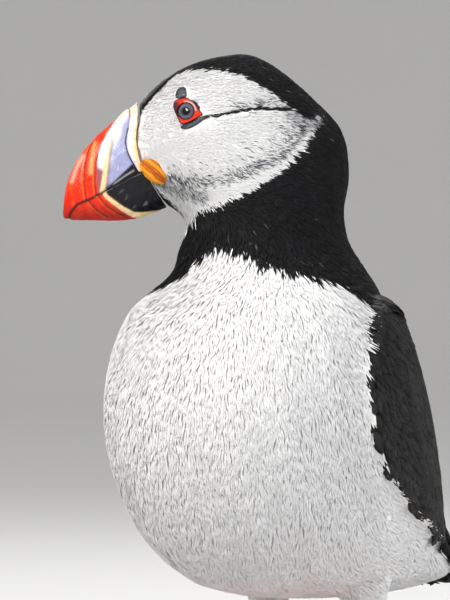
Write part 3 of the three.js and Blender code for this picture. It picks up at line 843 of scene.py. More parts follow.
def patch_uvs(mesh, faces, roots, layout, size=0.003):
    """Each feather's patch on the skin's unwrap, at its root."""
    layer = mesh.uv_layers.new(name="OFBake")
    places = (roots[:, None] + (layout - 0.5)[None] * size).reshape(-1, 2)
    layer.data.foreach_set("uv", places[faces.ravel()].clip(0.0005, 0.9995).astype(np.float32).ravel())


def sleek(mesh, normals, share):
    """Turns a coat's shading towards the skin's own, so that its feathers lie close and soft."""
    each = len(mesh.vertices) // len(normals)
    ours = mix(normals_of(mesh), np.repeat(normals, each, 0), share)
    mesh.normals_split_custom_set_from_vertices(unit(ours).tolist())


def grow_tufts(name, surface, roots, flow, lengths, widths, colours, sleekness, rng):
    """A piece of coat: one closed tuft on each root, lying along the flow."""
    points, normals, uvs, depths = roots
    count = len(points)
    if not 0 < count < TUFT_LIMIT:
        raise RuntimeError(f"{name} would have {count} tufts; a coat piece holds fewer than 20,000")
    side = np.cross(normals, flow)
    reach = lengths[:, None]
    middle = surface.laid(points + flow * reach * 0.5, depths * rng.uniform(0.5, 0.62, count))
    tip = surface.laid(points + flow * reach, depths * rng.uniform(0.78, 1.0, count))
    root = points - normals * 0.1 * MM
    cos, sin = np.cos(TUFT_RING)[None, :, None], np.sin(TUFT_RING)[None, :, None]
    half = (widths / 2)[:, None, None]
    ring = side[:, None] * cos * half + normals[:, None] * sin * half * TUFT_HEIGHT
    body = np.concatenate((root[:, None] + ring * 0.55, middle[:, None] + ring, tip[:, None]), 1)
    faces = repeated(TUFT_FACES, count, TUFT_POINTS)
    mesh = mesh_from(name, body.reshape(-1, 3), faces)
    shade_smooth(mesh)
    sleek(mesh, normals, sleekness)
    # Each tuft's colour with its painted root shade
    tones = colours[:, None] * TUFT_ROOT_SHADE[None, :, None]
    set_colours(mesh, tones.reshape(-1, 3).clip(0, 0.95))
    patch_uvs(mesh, faces, uvs, TUFT_PATCH)
    return add_object(name, mesh)


def grow_vanes(name, spines, sides, ups, widths, thickness, colours, uvs, edge_tint, profile=None):
    """Feathers with a web: a diamond section along each spine, broad in the middle."""
    count, stations = spines.shape[0], spines.shape[1] - 1
    share = np.linspace(0, 1, stations)
    crisp = profile is not None
    if not crisp:
        profile = np.interp(share, VANE_STATIONS, VANE_WIDTHS)
    profile = np.asarray(profile)[None, :, None]
    half = widths[:, None, None] / 2 * profile
    high = thickness[:, None, None] / 2 * (1.1 - 0.5 * share)[None, :, None]
    spine = spines[:, :-1]
    corners = np.stack((spine + sides[:, None] * half - ups[:, None] * high * 0.6,
                        spine + ups[:, None] * high,
                        spine - sides[:, None] * half - ups[:, None] * high * 0.6,
                        spine - ups[:, None] * high), 2)
    body = np.concatenate((corners.reshape(count, -1, 3), spines[:, -1:]), 1)
    faces = repeated(vane_faces(stations), count, stations * 4 + 1)
    mesh = mesh_from(name, body.reshape(-1, 3), faces)
    if not crisp:
        shade_smooth(mesh)
    edge = np.tile((1.0 + edge_tint, 1.0, 1.0 + edge_tint, 0.8), stations)
    tone = np.concatenate((edge * np.repeat(mix(0.8, 1.15, share), 4), (1.2 + edge_tint,)))
    set_colours(mesh, (colours[:, None] * tone[None, :, None]).reshape(-1, 3).clip(0, 0.95))
    across = np.tile((0.0, 0.5, 1.0, 0.5), stations)
    layout = np.stack((np.append(across, 0.5), np.append(np.repeat(share * 0.9, 4), 1.0)), 1)
    patch_uvs(mesh, faces, uvs, layout)
    return add_object(name, mesh)


def spaced_out(points, spacing, rng):
    """Indices of points kept so that no two are nearer than the spacing."""
    kept, cells = [], {}
    cell = spacing.max()
    for index in rng.permutation(len(points)).tolist():
        point = points[index]
        home = tuple(np.floor(point / cell).astype(int).tolist())
        reach = spacing[index]
        near_by = [other for i in (-1, 0, 1) for j in (-1, 0, 1) for k in (-1, 0, 1)
                   for other in cells.get((home[0] + i, home[1] + j, home[2] + k), ())]
        if near_by and np.linalg.norm(points[near_by] - point, axis=1).min() < reach:
            continue
        cells.setdefault(home, []).append(index)
        kept.append(index)
    return np.array(kept)


def take(roots, chosen):
    """The chosen ones of some roots."""
    return [values[chosen] for values in roots]


# The pieces. SKIN keeps the finished skin's surface for the feathers that grow on it.

SKIN = {}


def build_skin():
    """One skin under the coat, in place of all the nodes of flesh."""
    plumage = bpy.context.scene.puffin_plumage
    skin = fused("skin", FLESH, 1.4, 5, overlap=0.3)
    mesh = skin.data
    points, normals = points_of(mesh), normals_of(mesh)
    bare = tree_of(bare_nodes("bill", "cere", "eye", "rosette", "shank", "foot"))
    tree = BVHTree.FromPolygons(points.tolist(), [list(face.vertices) for face in mesh.polygons])
    depths = skin_depth(points, bare)
    # Where the flesh is thin, the skin stays well short of its far side
    for index, (point, normal) in enumerate(zip(points.tolist(), normals.tolist())):
        inward = -Vector(normal)
        hit = tree.ray_cast(Vector(point) + inward * 0.0003, inward, 0.012)[3]
        if hit is not None:
            depths[index] = min(depths[index], 0.28 * hit)
    u, z, _ = head_place(points)
    furrow = 0.8 * MM * near(u, z, EYE_CREASE, 0.9) * (z > 150)
    swell(mesh, -depths - furrow)
    rng = np.random.default_rng(plumage.seed)
    set_colours(mesh, plumage_colours(points, rng, ragged=0.2, flecks=False) * 0.95)
    unwrap(skin)
    finish_piece(skin, feather_material(), "white_feather", *FLESH)
    SKIN["surface"] = Surface(mesh, depths)


def coat_region(points):
    """The part of the coat each point belongs to."""
    _, z, head_s = head_place(points)
    body_u, _, body_s = body_place(points)
    white_depth, face_depth = whiteness(points)
    upper = (depth_in(body_u, z, FLANK_EDGE) > 0) & (z < collar_height(body_u, body_s) + 4)
    region = np.where(body_s >= 0, "belly_left", "belly_right").astype("<U12")
    front = (body_u > -8) & (z < 155)
    region[front & (body_s >= 0)] = "breast_left"
    region[front & (body_s < 0)] = "breast_right"
    region[upper & (face_depth < 0)] = "upperparts"
    region[(white_depth < 0) & ~upper] = "collar"
    region[(white_depth < 0) & (z > 158)] = "crown"
    region[(face_depth > -0.6) & (head_s >= 0)] = "face_left"
    region[(face_depth > -0.6) & (head_s < 0)] = "face_right"
    return region


def build_coat():
    """Soft feathers: everything but the upperparts, flight feathers and tail."""
    plumage = bpy.context.scene.puffin_plumage
    surface = SKIN["surface"]
    thinner = 1.0
    # Tufts on each square millimetre, their length and breadth in mm, their stray in radians
    face = (plumage.face_density, 2.1, 0.36, 0.08)
    breast = (plumage.body_density, 5.0, 0.92, 0.1)
    belly = (plumage.body_density * 0.6, 5.6, 1.12, 0.14)
    sizes = {"face_left": face, "face_right": face, "crown": (3.0, 2.9, 0.5, 0.1),
             "collar": (2.2, 3.8, 0.66, 0.11), "breast_left": breast, "breast_right": breast,
             "belly_left": belly, "belly_right": belly}
    regions = coat_region(surface.centres)
    bare = tree_of(bare_nodes("bill", "cere", "rosette", "shank", "foot"))
    slots = {"crown": "black_feather", "collar": "black_feather"}
    for order, (region, (density, length, width, stray)) in enumerate(sizes.items()):
        rng = np.random.default_rng(plumage.seed + 10 + order)
        roots = surface.scatter(np.where(regions == region, density * thinner, 0), rng)
        points, normals, _, depths = roots
        outer = points + normals * depths[:, None]
        gaps = np.minimum(gap_to(bare, outer), gap_to_eye(outer))
        keep = gaps > 0.25 * MM
        if region.startswith("face"):
            off_crease = nearest_on(*head_place(outer)[:2], EYE_CREASE)[0]
            keep &= (off_crease < 0.34) | (off_crease > 0.62)
        roots = take(roots, keep)
        points, normals, _, depths = roots
        gaps = gaps[keep]
        count = len(points)
        lengths = length * MM * rng.uniform(0.75, 1.2, count)
        lengths = np.minimum(lengths, 0.7 * MM + gaps * 1.1)
        slimmer = (lengths / (length * MM)).clip(0.55, 1) ** 0.5
        widths = width * MM * rng.uniform(0.75, 1.25, count) * slimmer
        flow = flow_at(points, normals, rng, stray)
        colours = plumage_colours(points + normals * depths[:, None], rng)
        slot = slots.get(region, "white_feather")
        sleekness = 0.4 if slot == "black_feather" else 0.82
        piece = grow_tufts("coat_" + region, surface, roots, flow, lengths, widths, colours,
                           sleekness, rng)
        material = dark_feather_material() if slot == "black_feather" else feather_material()
        finish_piece(piece, material, slot)


def build_upperparts():
    """Shingled feathers of mantle, shoulders, wings and rump."""
    plumage = bpy.context.scene.puffin_plumage
    surface = SKIN["surface"]
    rng = np.random.default_rng(plumage.seed + 40)
    regions = coat_region(surface.centres)
    roots = surface.scatter(np.where(regions == "upperparts", 1.6, 0), rng)
    reach = smooth_step(roots[0][:, 1] / MM, -50, 40)
    sizes = mix(0.62, 1.3, reach)
    kept = spaced_out(roots[0], plumage.vane_spacing * sizes, rng)
    kept = kept[np.argsort(roots[0][kept, 1])]
    roots = take(roots, kept)
    points, normals, uvs, depths = roots
    sizes = sizes[kept] * rng.uniform(0.92, 1.08, len(kept))
    flow = flow_at(points, normals, rng, 0.05)
    stations = 5
    spines = np.empty((len(points), stations + 1, 3))
    spines[:, 0] = points - normals * 0.1 * MM
    lengths = plumage.vane_length * sizes
    floor = np.maximum(depths, 0.5 * MM)
    for step in range(1, stations + 1):
        share = step / stations
        heights = floor * mix(0.15, 1.05, share)
        spines[:, step] = surface.laid(points + flow * (lengths * share)[:, None], heights)
    colours = plumage_colours(points + normals * depths[:, None], rng)
    dark = colours.max(1) < 0.3
    spines, flow, normals, uvs = spines[dark], flow[dark], normals[dark], uvs[dark]
    sides = np.cross(normals, flow)
    widths = plumage.vane_length * 0.56 * sizes[dark]
    thick = np.full(dark.sum(), 0.42 * MM)
    piece = grow_vanes("upperpart_feathers", spines, sides, normals, widths, thick, colours[dark], uvs,
                       0.5)
    finish_piece(piece, vane_material(), "black_feather")


def axes_of(points):
    """Centre and long and broad directions of a shape, the long one running back."""
    centre = (points.max(0) + points.min(0)) / 2
    _, _, rows = np.linalg.svd(points - points.mean(0), full_matrices=False)
    long = rows[0] * np.sign(rows[0][1])
    return centre, long, rows[1]


def settle(spines, rest, heights, tucked=0.0):
    """Lays long feathers down on what is under them, with their bases tucked deeper in.

    It gives each one's mean outward direction.
    """
    ups = np.zeros((len(spines), 3))
    sunk = tucked * (1 - smooth_step(np.arange(spines.shape[1]), 0, 3))
    for feather, spine in enumerate(spines):
        for step, point in enumerate(spine.tolist()):
            place, normal, _, gap = rest.find_nearest(point)
            out = unit(np.array(point) - np.array(place)) if gap > 0.3 * MM else np.array(normal)
            spine[step] = np.array(place) + out * (heights[feather] - sunk[step])
            ups[feather] += out
    return unit(ups)


def grow_quills(name, spines, ups, widths, thickness, colours, edge_tint, row):
    """Long feathers with crisp edges: thickness in mm, and the row they have on the unwrap."""
    count = len(spines)
    directions = unit(spines[:, -1] - spines[:, 0])
    ups = unit(ups - directions * (ups * directions).sum(1, keepdims=True))
    uvs = np.stack((np.linspace(0.1, 0.9, count), np.full(count, row)), 1)
    return grow_vanes(name, spines, np.cross(ups, directions), ups, widths,
                      np.full(count, thickness * MM), colours, uvs, edge_tint, QUILL_WIDTHS)


def build_primaries():
    """The closed wing's long feathers, one above another."""
    rng = np.random.default_rng(bpy.context.scene.puffin_plumage.seed + 60)
    rest = tree_of(("rump", "tail", "wing_left", "wing_right"))
    for side in SIDES:
        node = "primaries_" + side
        shape = points_of(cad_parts[node].data)
        centre, long, broad = axes_of(shape)
        broad = broad * np.sign(broad[2])
        thin = np.cross(long, broad)
        outward = 1 if side == "left" else -1
        thin = thin * np.sign(thin[0]) * outward
        along = (shape - centre) @ long
        across = (shape - centre) @ broad
        deep = (shape - centre) @ thin
        count = PRIMARIES
        spines = np.empty((count, len(QUILL_STATIONS), 3))
        for feather in range(count):
            share = feather / (count - 1)
            start = along.min() - 1 * MM
            end = along.max() - (along.max() - along.min()) * 0.42 * share
            base = mix(across.min(), across.max(), 0.25 + 0.55 * share) * 0.8
            lift = mix(-0.25, 0.75, share) * (deep.max() - deep.min()) / 2
            for step, t in enumerate(QUILL_STATIONS):
                sweep = mix(base, mix(across.min(), across.max(), 0.32 + 0.36 * share) * 0.7, t)
                spines[feather, step] = (centre + long * mix(start, end, t) + broad * sweep
                                         + thin * lift * (1 - 0.35 * t))
        widths = np.full(count, (across.max() - across.min()) * 0.27) * rng.uniform(0.95, 1.05, count)
        dark = np.array(bpy.context.scene.puffin_plumage.back) * rng.uniform(0.8, 1.3, (count, 1))
        heights = np.linspace(0.7, 2.2, count)
        ups = settle(spines, rest, heights * MM, 2.4 * MM)
        piece = grow_quills(node + "_feathers", spines, ups, widths, 0.6, dark, 2.0, 0.5)
        finish_piece(piece, vane_material(), "black_feather", node)


def build_tail():
    """The short fan of the tail."""
    rng = np.random.default_rng(bpy.context.scene.puffin_plumage.seed + 70)
    low, high = (np.array(corner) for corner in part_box("tail"))
    count = TAIL_FEATHERS
    spines = np.empty((count, len(QUILL_STATIONS), 3))
    half = (high[0] - low[0]) / 2
    for feather in range(count):
        share = (feather - (count - 1) / 2) / ((count - 1) / 2)
        root = np.array((share * half * 0.38, low[1] - 4 * MM, high[2] - 2.5 * MM))
        tip = np.array((share * (half - 3.5 * MM), high[1] - 9 * MM * share ** 2, low[2] + 1.6 * MM))
        lift = (1 - abs(share)) * 2.2 * MM
        for step, t in enumerate(QUILL_STATIONS):
            spines[feather, step] = mix(root, tip, t) + UP * (lift + 1.2 * MM * math.sin(math.pi * t))
    widths = np.full(count, 8.2 * MM) * rng.uniform(0.95, 1.05, count)
    dark = np.array(bpy.context.scene.puffin_plumage.back) * rng.uniform(0.8, 1.25, (count, 1))
    piece = grow_quills("tail_feathers", spines, UP, widths, 0.7, dark, 1.6, 0.4)
    finish_piece(piece, vane_material(), "black_feather", "tail")


def build_tail_coverts():
    """Short feathers that bridge the rump and the tail's roots from above."""
    surface = SKIN["surface"]
    rng = np.random.default_rng(bpy.context.scene.puffin_plumage.seed + 80)
    rest = tree_of(("rump", "tail"))
    rump_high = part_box("rump")[1]
    tail_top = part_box("tail")[1][2]
    spines = []
    for row, back in enumerate(COVERT_ROWS):
        for across in np.linspace(-1, 1, COVERTS):
            y = rump_high[1] + (back - 2.5 * across ** 2) * MM
            x = across * 13.5 * MM
            place = surface.tree.ray_cast(Vector((x, y, 0.12)), Vector((0, 0, -1)), 0.12)[0]
            root = Vector((x, y, tail_top)) if place is None else place
            spines.append([np.array(root) + np.array((x * 0.28 * t, (18 + row) * MM * t, -9 * MM * t))
                           for t in QUILL_STATIONS])
    spines = np.array(spines)
    count = len(spines)
    heights = np.repeat(np.linspace(2.4, 1.1, len(COVERT_ROWS)), COVERTS) * MM
    ups = settle(spines[:, 1:], rest, heights)
    widths = np.full(count, 6.5 * MM)
    dark = np.array(bpy.context.scene.puffin_plumage.back) * rng.uniform(0.8, 1.25, (count, 1))
    piece = grow_quills("tail_coverts", spines, ups, widths, 0.5, dark, 1.0, 0.3)
    finish_piece(piece, vane_material(), "black_feather")


def band(u, z, line, half, soft=0.25):
    """1 within a half-width of a line, with a soft edge."""
    gap, _ = nearest_on(u, z, line)
    return 1 - smooth_step(gap, half - soft, half + soft)


def beyond(u, z, line, soft):
    """1 ahead of a line that runs downwards, with a soft edge."""
    gap, side = nearest_on(u, z, line)
    return smooth_step(gap * side, -soft, soft)


def upper_bill_colours(points):
    """The upper bill: blue shield, cream ridge and grooved red tip."""
    horn = bpy.context.scene.puffin_horn
    u, z, _ = head_place(points)
    blue, white = np.array(horn.blue), np.array(horn.white)
    cream, dark = np.array(horn.cream), np.array(horn.dark)
    rise = 0.75 * (z - 172) + 2 * (u - 43) + 1.2 * waves(points, 5 * MM, 32)
    pale = smooth_step(rise, 8.5, 14.5)[:, None]
    colours = mix(blue, white, pale * 0.92)
    streak = smooth_step(waves(points * (1, 1, 0.35), 0.8 * MM, 33), 0.6, 1.8)
    streak = streak * smooth_step(174 - z, 0, 4)
    colours = mix(colours, white, streak[:, None] * 0.45)
    behind = (smooth_step(nearest_on(u, z, RIDGE_LINE)[0], 2.6, 0.6) * (z < RIDGE_TOP))[:, None]
    colours = mix(colours, blue * 0.72, behind * 0.5)
    foot = beyond(u, z, SHIELD_FOOT[::-1], 0.3)[:, None] * (z < 174)[:, None]
    ahead_ridge = beyond(u, z, RIDGE_LINE, 0.3)[:, None]
    colours = mix(colours, white, ahead_ridge * 0.95)
    strip = ahead_ridge * smooth_step(172.6 - z + 0.6 * (u - 51), 0, 2.4)[:, None]
    colours = mix(colours, np.array(DEEP_RED), strip * 0.9)
    half = np.interp(z, (164, 172, 179.5), (0.85, 0.7, 0.15))
    ridge = (1 - smooth_step(nearest_on(u, z, RIDGE_LINE)[0] - half, -0.2, 0.25))[:, None]
    colours = mix(colours, cream, ridge)
    edge = near(u + half + 0.25, z, RIDGE_LINE, 0.3)[:, None] * (z < RIDGE_TOP)[:, None]
    colours = mix(colours, cream * (0.42, 0.3, 0.25), edge * 0.55)
    culmen = near(u, z, CULMEN, 2.5)[:, None]
    colours = mix(colours, cream * 1.08, culmen * 0.8)
    tip = beyond(u, z, RED_EDGE, 0.22)[:, None]
    # Painted shade: near black along the upper bill's edge above the mouth, below the shield's foot
    shade_wedge = (foot * (u < 49.5)[:, None]) * (1 - ridge)
    colours = mix(colours, dark, shade_wedge)
    gleam = near(u, z, SHIELD_GLEAM, 0.22)[:, None]
    colours = mix(colours, white * 0.55, gleam * 0.7)
    groove = near(u, z, CERE_EDGE, 0.32)[:, None]
    colours = mix(colours, blue * 0.16, groove * 0.85)
    return mix(colours, red_horn(points, GROOVES, 34), tip)


def red_horn(points, grooves, seed):
    """Red horn with orange painted highlight streaks, painted shade in its dark grooves with a painted
    highlight behind each, and painted shade low down.
    """
    horn = bpy.context.scene.puffin_horn
    u, z, _ = head_place(points)
    red, orange = np.array(horn.red), np.array(horn.orange)
    warm = smooth_step(waves(points * (1, 1, 0.4), 2.6 * MM, seed), -0.4, 1.8)[:, None]
    colours = mix(red, orange, warm * 0.4)
    # Painted highlight streaks
    for line, (tint, share) in zip(HIGHLIGHT_STREAKS, HIGHLIGHT_STREAK_TINTS):
        colours = mix(colours, np.array(tint), near(u, z, line, 0.75)[:, None] * share)
    for line in grooves:
        # Painted highlight on each groove's rear lip, and painted shade in the groove
        behind = [(a + 0.5, b) for a, b in line]
        colours = mix(colours, orange * (1.0, 1.6, 2.4), near(u, z, behind, 0.28)[:, None] * 0.5)
        colours = mix(colours, red * 0.25, near(u, z, line, 0.3)[:, None] * 0.85)
    # Painted shade: darker towards the bottom
    low = smooth_step(163.5 - z, 0, 7.5)[:, None]
    return mix(colours, colours * (0.42, 0.28, 0.28), low * 0.85)


def lower_bill_colours(points):
    """The lower bill: dark base, cream band and red tip."""
    horn = bpy.context.scene.puffin_horn
    u, z, _ = head_place(points)
    cream, dark = np.array(horn.cream), np.array(horn.dark)
    gleam = smooth_step(waves(points, 2.2 * MM, 41), 0.9, 2.0) * smooth_step(167 - z, 0, 5)
    base = mix(dark, np.array(HORN_SHINE), gleam[:, None] * 0.6)
    tip = beyond(u, z, BAND_LINE, 0.2)[:, None]
    colours = mix(base, red_horn(points, LOWER_GROOVES, 42), tip)
    half = np.interp(u, (31, 38, 50), (0.5, 0.85, 0.62))
    edge = (1 - smooth_step(nearest_on(u, z, BAND_LINE)[0] - half, -0.2, 0.2))[:, None]
    return mix(colours, cream, edge)


def build_bill():
    """One closed bill, with the mouth's line pressed in between its halves."""
    bill = fused("bill", BILL_UPPER + BILL_LOWER, 0.37, 3)
    points = points_of(bill.data)
    u, z, _ = head_place(points)
    tip = beyond(u, z, RED_EDGE, 0.3)
    above = beyond(u, z, GAPE_LINE, 0.12)
    relief = 0.3 * band(u, z, RIDGE_LINE, 0.7, 0.4) * (z < RIDGE_TOP) * above
    relief = relief - 0.15 * near(u, z, RED_EDGE, 0.45) * above
    for line in GROOVES:
        relief = relief - 0.3 * near(u, z, line, 0.4) * tip * above
    relief = relief + 0.25 * band(u, z, BAND_LINE, 0.7, 0.4) * (1 - above)
    for line in LOWER_GROOVES:
        relief = relief - 0.28 * near(u, z, line, 0.4) * (1 - above)
    relief = relief + 0.04 * waves(points, 2.2 * MM, 51)
    relief = relief + 0.45 * smooth_step(47.5 - u, 0, 4) * smooth_step(z, 183, 186)
    gape = near(u, z, GAPE_LINE, 0.34)
    corner = near(u, z, MOUTH_CORNER, 0.8)
    swell(bill.data, (relief - 0.3 * gape) * MM)
    # Painted shade: the pressed-in mouth line and its corner are darkened for the gap between the halves
    gape = np.maximum(near(u, z, GAPE_LINE, 0.46), corner * (1 - band(u, z, RIDGE_LINE, 0.7)))
    dark = np.array(bpy.context.scene.puffin_horn.dark)
    colours = mix(lower_bill_colours(points), upper_bill_colours(points), above[:, None])
    set_colours(bill.data, mix(colours, dark * 0.6, (gape * 0.95)[:, None]).clip(0.003, 0.92))
    unwrap(bill)
    finish_piece(bill, horn_material(), "red_horn", *BILL_UPPER, *BILL_LOWER)


def build_cere():
    """The pale, pitted ridge round the base of the upper bill."""
    horn = bpy.context.scene.puffin_horn
    cere = fused("cere_ridge", ("cere",), 0.4, 3)
    points = points_of(cere.data)
    u, z, _ = head_place(points)
    mid = np.interp(z, (172, 178, 184, 189), (39.6, 41.2, 40.6, 39.4))
    low = np.array(horn.cream)
    ahead = smooth_step(u - mid, -0.8, 0.8)[:, None]
    colours = mix(low, np.array(horn.white) * (0.86, 0.9, 1.0), ahead)
    colours = mix(colours, low * 0.95, smooth_step(z, 185, 189)[:, None] * 0.6)
    rear = smooth_step(mid - u, 0.8, 2.0)[:, None]
    colours = mix(colours, np.array(horn.orange) * 0.2 + low * 0.55, rear * 0.8)
    pits = smooth_step(waves(points, 1.3 * MM, 61), 0.7, 1.6)[:, None]
    colours = mix(colours, colours * 0.62, pits * 0.7)
    groove = near(u, z, CERE_EDGE, 0.3)[:, None]
    colours = mix(colours, np.array(horn.blue) * 0.2, groove * 0.7)
    sunk = 0.55 * smooth_step(z, 184, 188.5) + 0.1 * pits[:, 0]
    swell(cere.data, -sunk * MM)
    set_colours(cere.data, colours)
    unwrap(cere)
    finish_piece(cere, horn_material(), "cream_horn", "cere")


def build_rosettes():
    """The wrinkled yellow skin at the corners of the mouth."""
    horn = bpy.context.scene.puffin_horn
    for side in SIDES:
        node = "rosette_" + side
        piece = fused("gape_" + side, (node,), 0.22, 24)
        points = points_of(piece.data)
        u, z, _ = head_place(points)
        middle = ((u.min() + u.max()) / 2, (z.min() + z.max()) / 2)
        forward, upward = GAPE_LIE
        along = ((u - middle[0]) * forward + (z - middle[1]) * upward) / GAPE_HALF
        breadth = 3.0 * np.sqrt(1.15 - along.clip(-1, 1) ** 2)
        across = ((z - middle[1]) * forward - (u - middle[0]) * upward) / breadth
        fold = np.cos(across * 2 * math.pi * 1.9 + 0.5 * waves(points, 3 * MM, 71))
        fold = np.where(np.abs(across) < 0.14, -1.4, fold)
        swell(piece.data, 0.2 * MM * fold + 0.15 * MM)
        lengthways = HEAD_FORWARD * forward + UP * upward
        set_points(piece.data, points_of(piece.data) + lengthways * (0.7 * MM * along)[:, None])
        # Painted shade: darker in the furrows between the folds
        deep = np.array(horn.gape) * (0.55, 0.28, 0.3)
        colours = mix(deep, np.array(horn.gape), smooth_step(fold, -1.0, 0.0)[:, None])
        low = smooth_step(-across, 0.4, 1.0)[:, None]
        colours = mix(colours, np.array(horn.gape) * (1.05, 1.25, 2.0), low)
        set_colours(piece.data, colours)
        unwrap(piece)
        finish_piece(piece, bare_skin_material(), "yellow_skin", node)


class EyeSheet:
    """A smooth sheet through the feathers round one eye, for the small parts set on it."""

    def __init__(self, side):
        self.sign = 1 if side == "left" else -1
        tree = tree_of(("head",))
        rows, values = [], []
        for reach in (6.5, 8.0, 9.5):
            for turn in range(0, 360, 20):
                du, dz = reach * math.cos(math.radians(turn)), reach * math.sin(math.radians(turn))
                start = Vector(from_head(EYE_CENTRE[0] + du, EYE_CENTRE[1] + dz, self.sign * 60))
                hit = tree.ray_cast(start, Vector(-HEAD_LEFT * self.sign))[0]
                if hit is not None:
                    rows.append((1, du, dz, du * du, du * dz, dz * dz))
                    values.append(head_place(np.array(hit))[2] * self.sign)
        self.fit = np.linalg.lstsq(np.array(rows), np.array(values), rcond=None)[0]

    def at(self, u, z, height):
        """Points at a height in mm above the sheet."""
        du, dz = u - EYE_CENTRE[0], z - EYE_CENTRE[1]
        a, b, c, d, e, f = self.fit
        s = a + b * du + c * dz + d * du * du + e * du * dz + f * dz * dz
        slope_u, slope_z = b + 2 * d * du + e * dz, c + e * du + 2 * f * dz
        sign = self.sign
        out = unit(HEAD_LEFT * sign - np.asarray(slope_u)[..., None] * HEAD_FORWARD
                   - np.asarray(slope_z)[..., None] * UP)
        base = (NECK_FOOT + HEAD_FORWARD * (u * MM)[..., None] + UP * (z * MM)[..., None]
                + HEAD_LEFT * (sign * s * MM)[..., None])
        return base + out * (np.asarray(height) * MM)[..., None]


def rounded_off(outline):
    """An outline with its corners cut twice over."""
    line = np.array(outline)
    for _ in range(2):
        after = np.roll(line, -1, 0)
        line = np.stack((line * 0.75 + after * 0.25, line * 0.25 + after * 0.75), 1).reshape(-1, 2)
    return line


def closed_piece(name, rings, capped):
    """A piece from rings of points; capped ends close on their middles, others join up."""
    count, around = rings.shape[:2]
    points = rings.reshape(-1, 3)
    pairs = count - 1 if capped else count
    faces = []
    for ring in range(pairs):
        here, there = ring * around, (ring + 1) % count * around
        faces += [(here + k, here + (k + 1) % around, there + (k + 1) % around, there + k)
                  for k in range(around)]
    shape = bmesh.new()
    corners = [shape.verts.new(point) for point in points.tolist()]
    if capped:
        for ring in (0, count - 1):
            middle = shape.verts.new(rings[ring].mean(0).tolist())
            for k in range(around):
                shape.faces.new((corners[ring * around + k], corners[ring * around + (k + 1) % around],
                                 middle))
    for face in faces:
        shape.faces.new([corners[index] for index in face])
    bmesh.ops.recalc_face_normals(shape, faces=shape.faces)
    mesh = bpy.data.meshes.new(name)
    shape.to_mesh(mesh)
    shape.free()
    shade_smooth(mesh)
    return add_object(name, mesh)


def reach_of(outline, centre, turns):
    """How far an outline is from a centre within it, in each direction."""
    out = np.zeros(len(turns))
    for (u0, z0), (u1, z1) in zip(outline, np.roll(outline, -1, 0)):
        du, dz = np.cos(turns), np.sin(turns)
        eu, ez = u1 - u0, z1 - z0
        across = du * ez - dz * eu
        across = np.where(np.abs(across) < 1e-9, 1e-9, across)
        along = ((u0 - centre[0]) * ez - (z0 - centre[1]) * eu) / across
        share = ((u0 - centre[0]) * dz - (z0 - centre[1]) * du) / across
        hit = (along > 0) & (share >= -1e-6) & (share <= 1 + 1e-6)
        out = np.where(hit, np.maximum(out, along), out)
    return out


def eye_rim(side, sheet):
    """The fleshy rim, a ring of changing breadth round the eye."""
    horn = bpy.context.scene.puffin_horn
    turns = np.linspace(0, 2 * math.pi, 96, endpoint=False)
    inner = np.full(len(turns), RIM_INNER)
    outer = np.maximum(reach_of(rounded_off(RIM_OUTLINE), EYE_CENTRE, turns), RIM_INNER + 0.5)
    rings = []
    for slant in np.linspace(0, 2 * math.pi, 14, endpoint=False):
        away = (inner + outer) / 2 + (outer - inner) / 2 * math.cos(slant)
        high = 0.55 * abs(math.sin(slant)) ** 0.7 if math.sin(slant) > 0 else -0.5 * abs(math.sin(slant))
        rings.append(sheet.at(EYE_CENTRE[0] + away * np.cos(turns), EYE_CENTRE[1] + away * np.sin(turns),
                              np.full(len(turns), high)))
    piece = closed_piece("rim_" + side, np.array(rings), capped=False)
    points = points_of(piece.data)
    u, z, _ = head_place(points)
    away = np.hypot(u - EYE_CENTRE[0], z - EYE_CENTRE[1])
    red, dark = np.array(horn.red), np.array(horn.dark)
    warm = smooth_step(waves(points, 1.5 * MM, 91), 0, 2)[:, None]
    colours = mix(red, np.array(horn.orange), warm * 0.3)
    front = smooth_step(u, 26.2, 27.0) * smooth_step(z, 186.6, 188.0)
    front = front * (1 - smooth_step(z, 191.2, 191.8))
    colours = mix(colours, np.array(RIM_SHADOW), front[:, None] * 0.9)
    edge = 1 - smooth_step(depth_in(u, z, rounded_off(RIM_OUTLINE).tolist()), 0.2, 0.55)
    colours = mix(colours, dark, edge[:, None] * 0.85)
    # Painted highlight: a pale pink crescent on the rim above the eye
    off_gleam = np.maximum(np.abs(away - RIM_GLEAM) - 0.025, 0)
    gleam_crescent = np.exp(-((off_gleam / 0.22) ** 2)) * (u < 25) * (z > 188.6)
    colours = mix(colours, np.array(RIM_GLEAM_PINK), gleam_crescent[:, None] * 0.8)
    inner_line = (1 - smooth_step(away, 2.62, 2.85))[:, None]
    colours = mix(colours, dark, inner_line * 0.9)
    set_colours(piece.data, colours.clip(0.003, 0.95))
    return piece


def eye_plate(name, outline, sheet, height):
    """A small horny plate above or below the eye."""
    line = rounded_off(outline)
    middle = line.mean(0)
    rings = []
    for size, share in ((1.0, -0.6), (1.0, 0.35), (0.9, 0.75), (0.65, 0.95), (0.3, 1.0)):
        ring = middle + (line - middle) * size
        rings.append(sheet.at(ring[:, 0], ring[:, 1], np.full(len(ring), height * share)))
    piece = closed_piece(name, np.array(rings), capped=True)
    points = points_of(piece.data)
    u, z, _ = head_place(points)
    horn = bpy.context.scene.puffin_horn
    uneven = 1 + 0.35 * waves(points, 0.9 * MM, 93)
    edge = 1 - smooth_step(depth_in(u, z, line.tolist()), 0.1, 0.4)
    colours = mix(np.array(horn.slate) * uneven[:, None], np.array(horn.dark), edge[:, None] * 0.9)
    set_colours(piece.data, colours.clip(0.003, 0.9))
    return piece


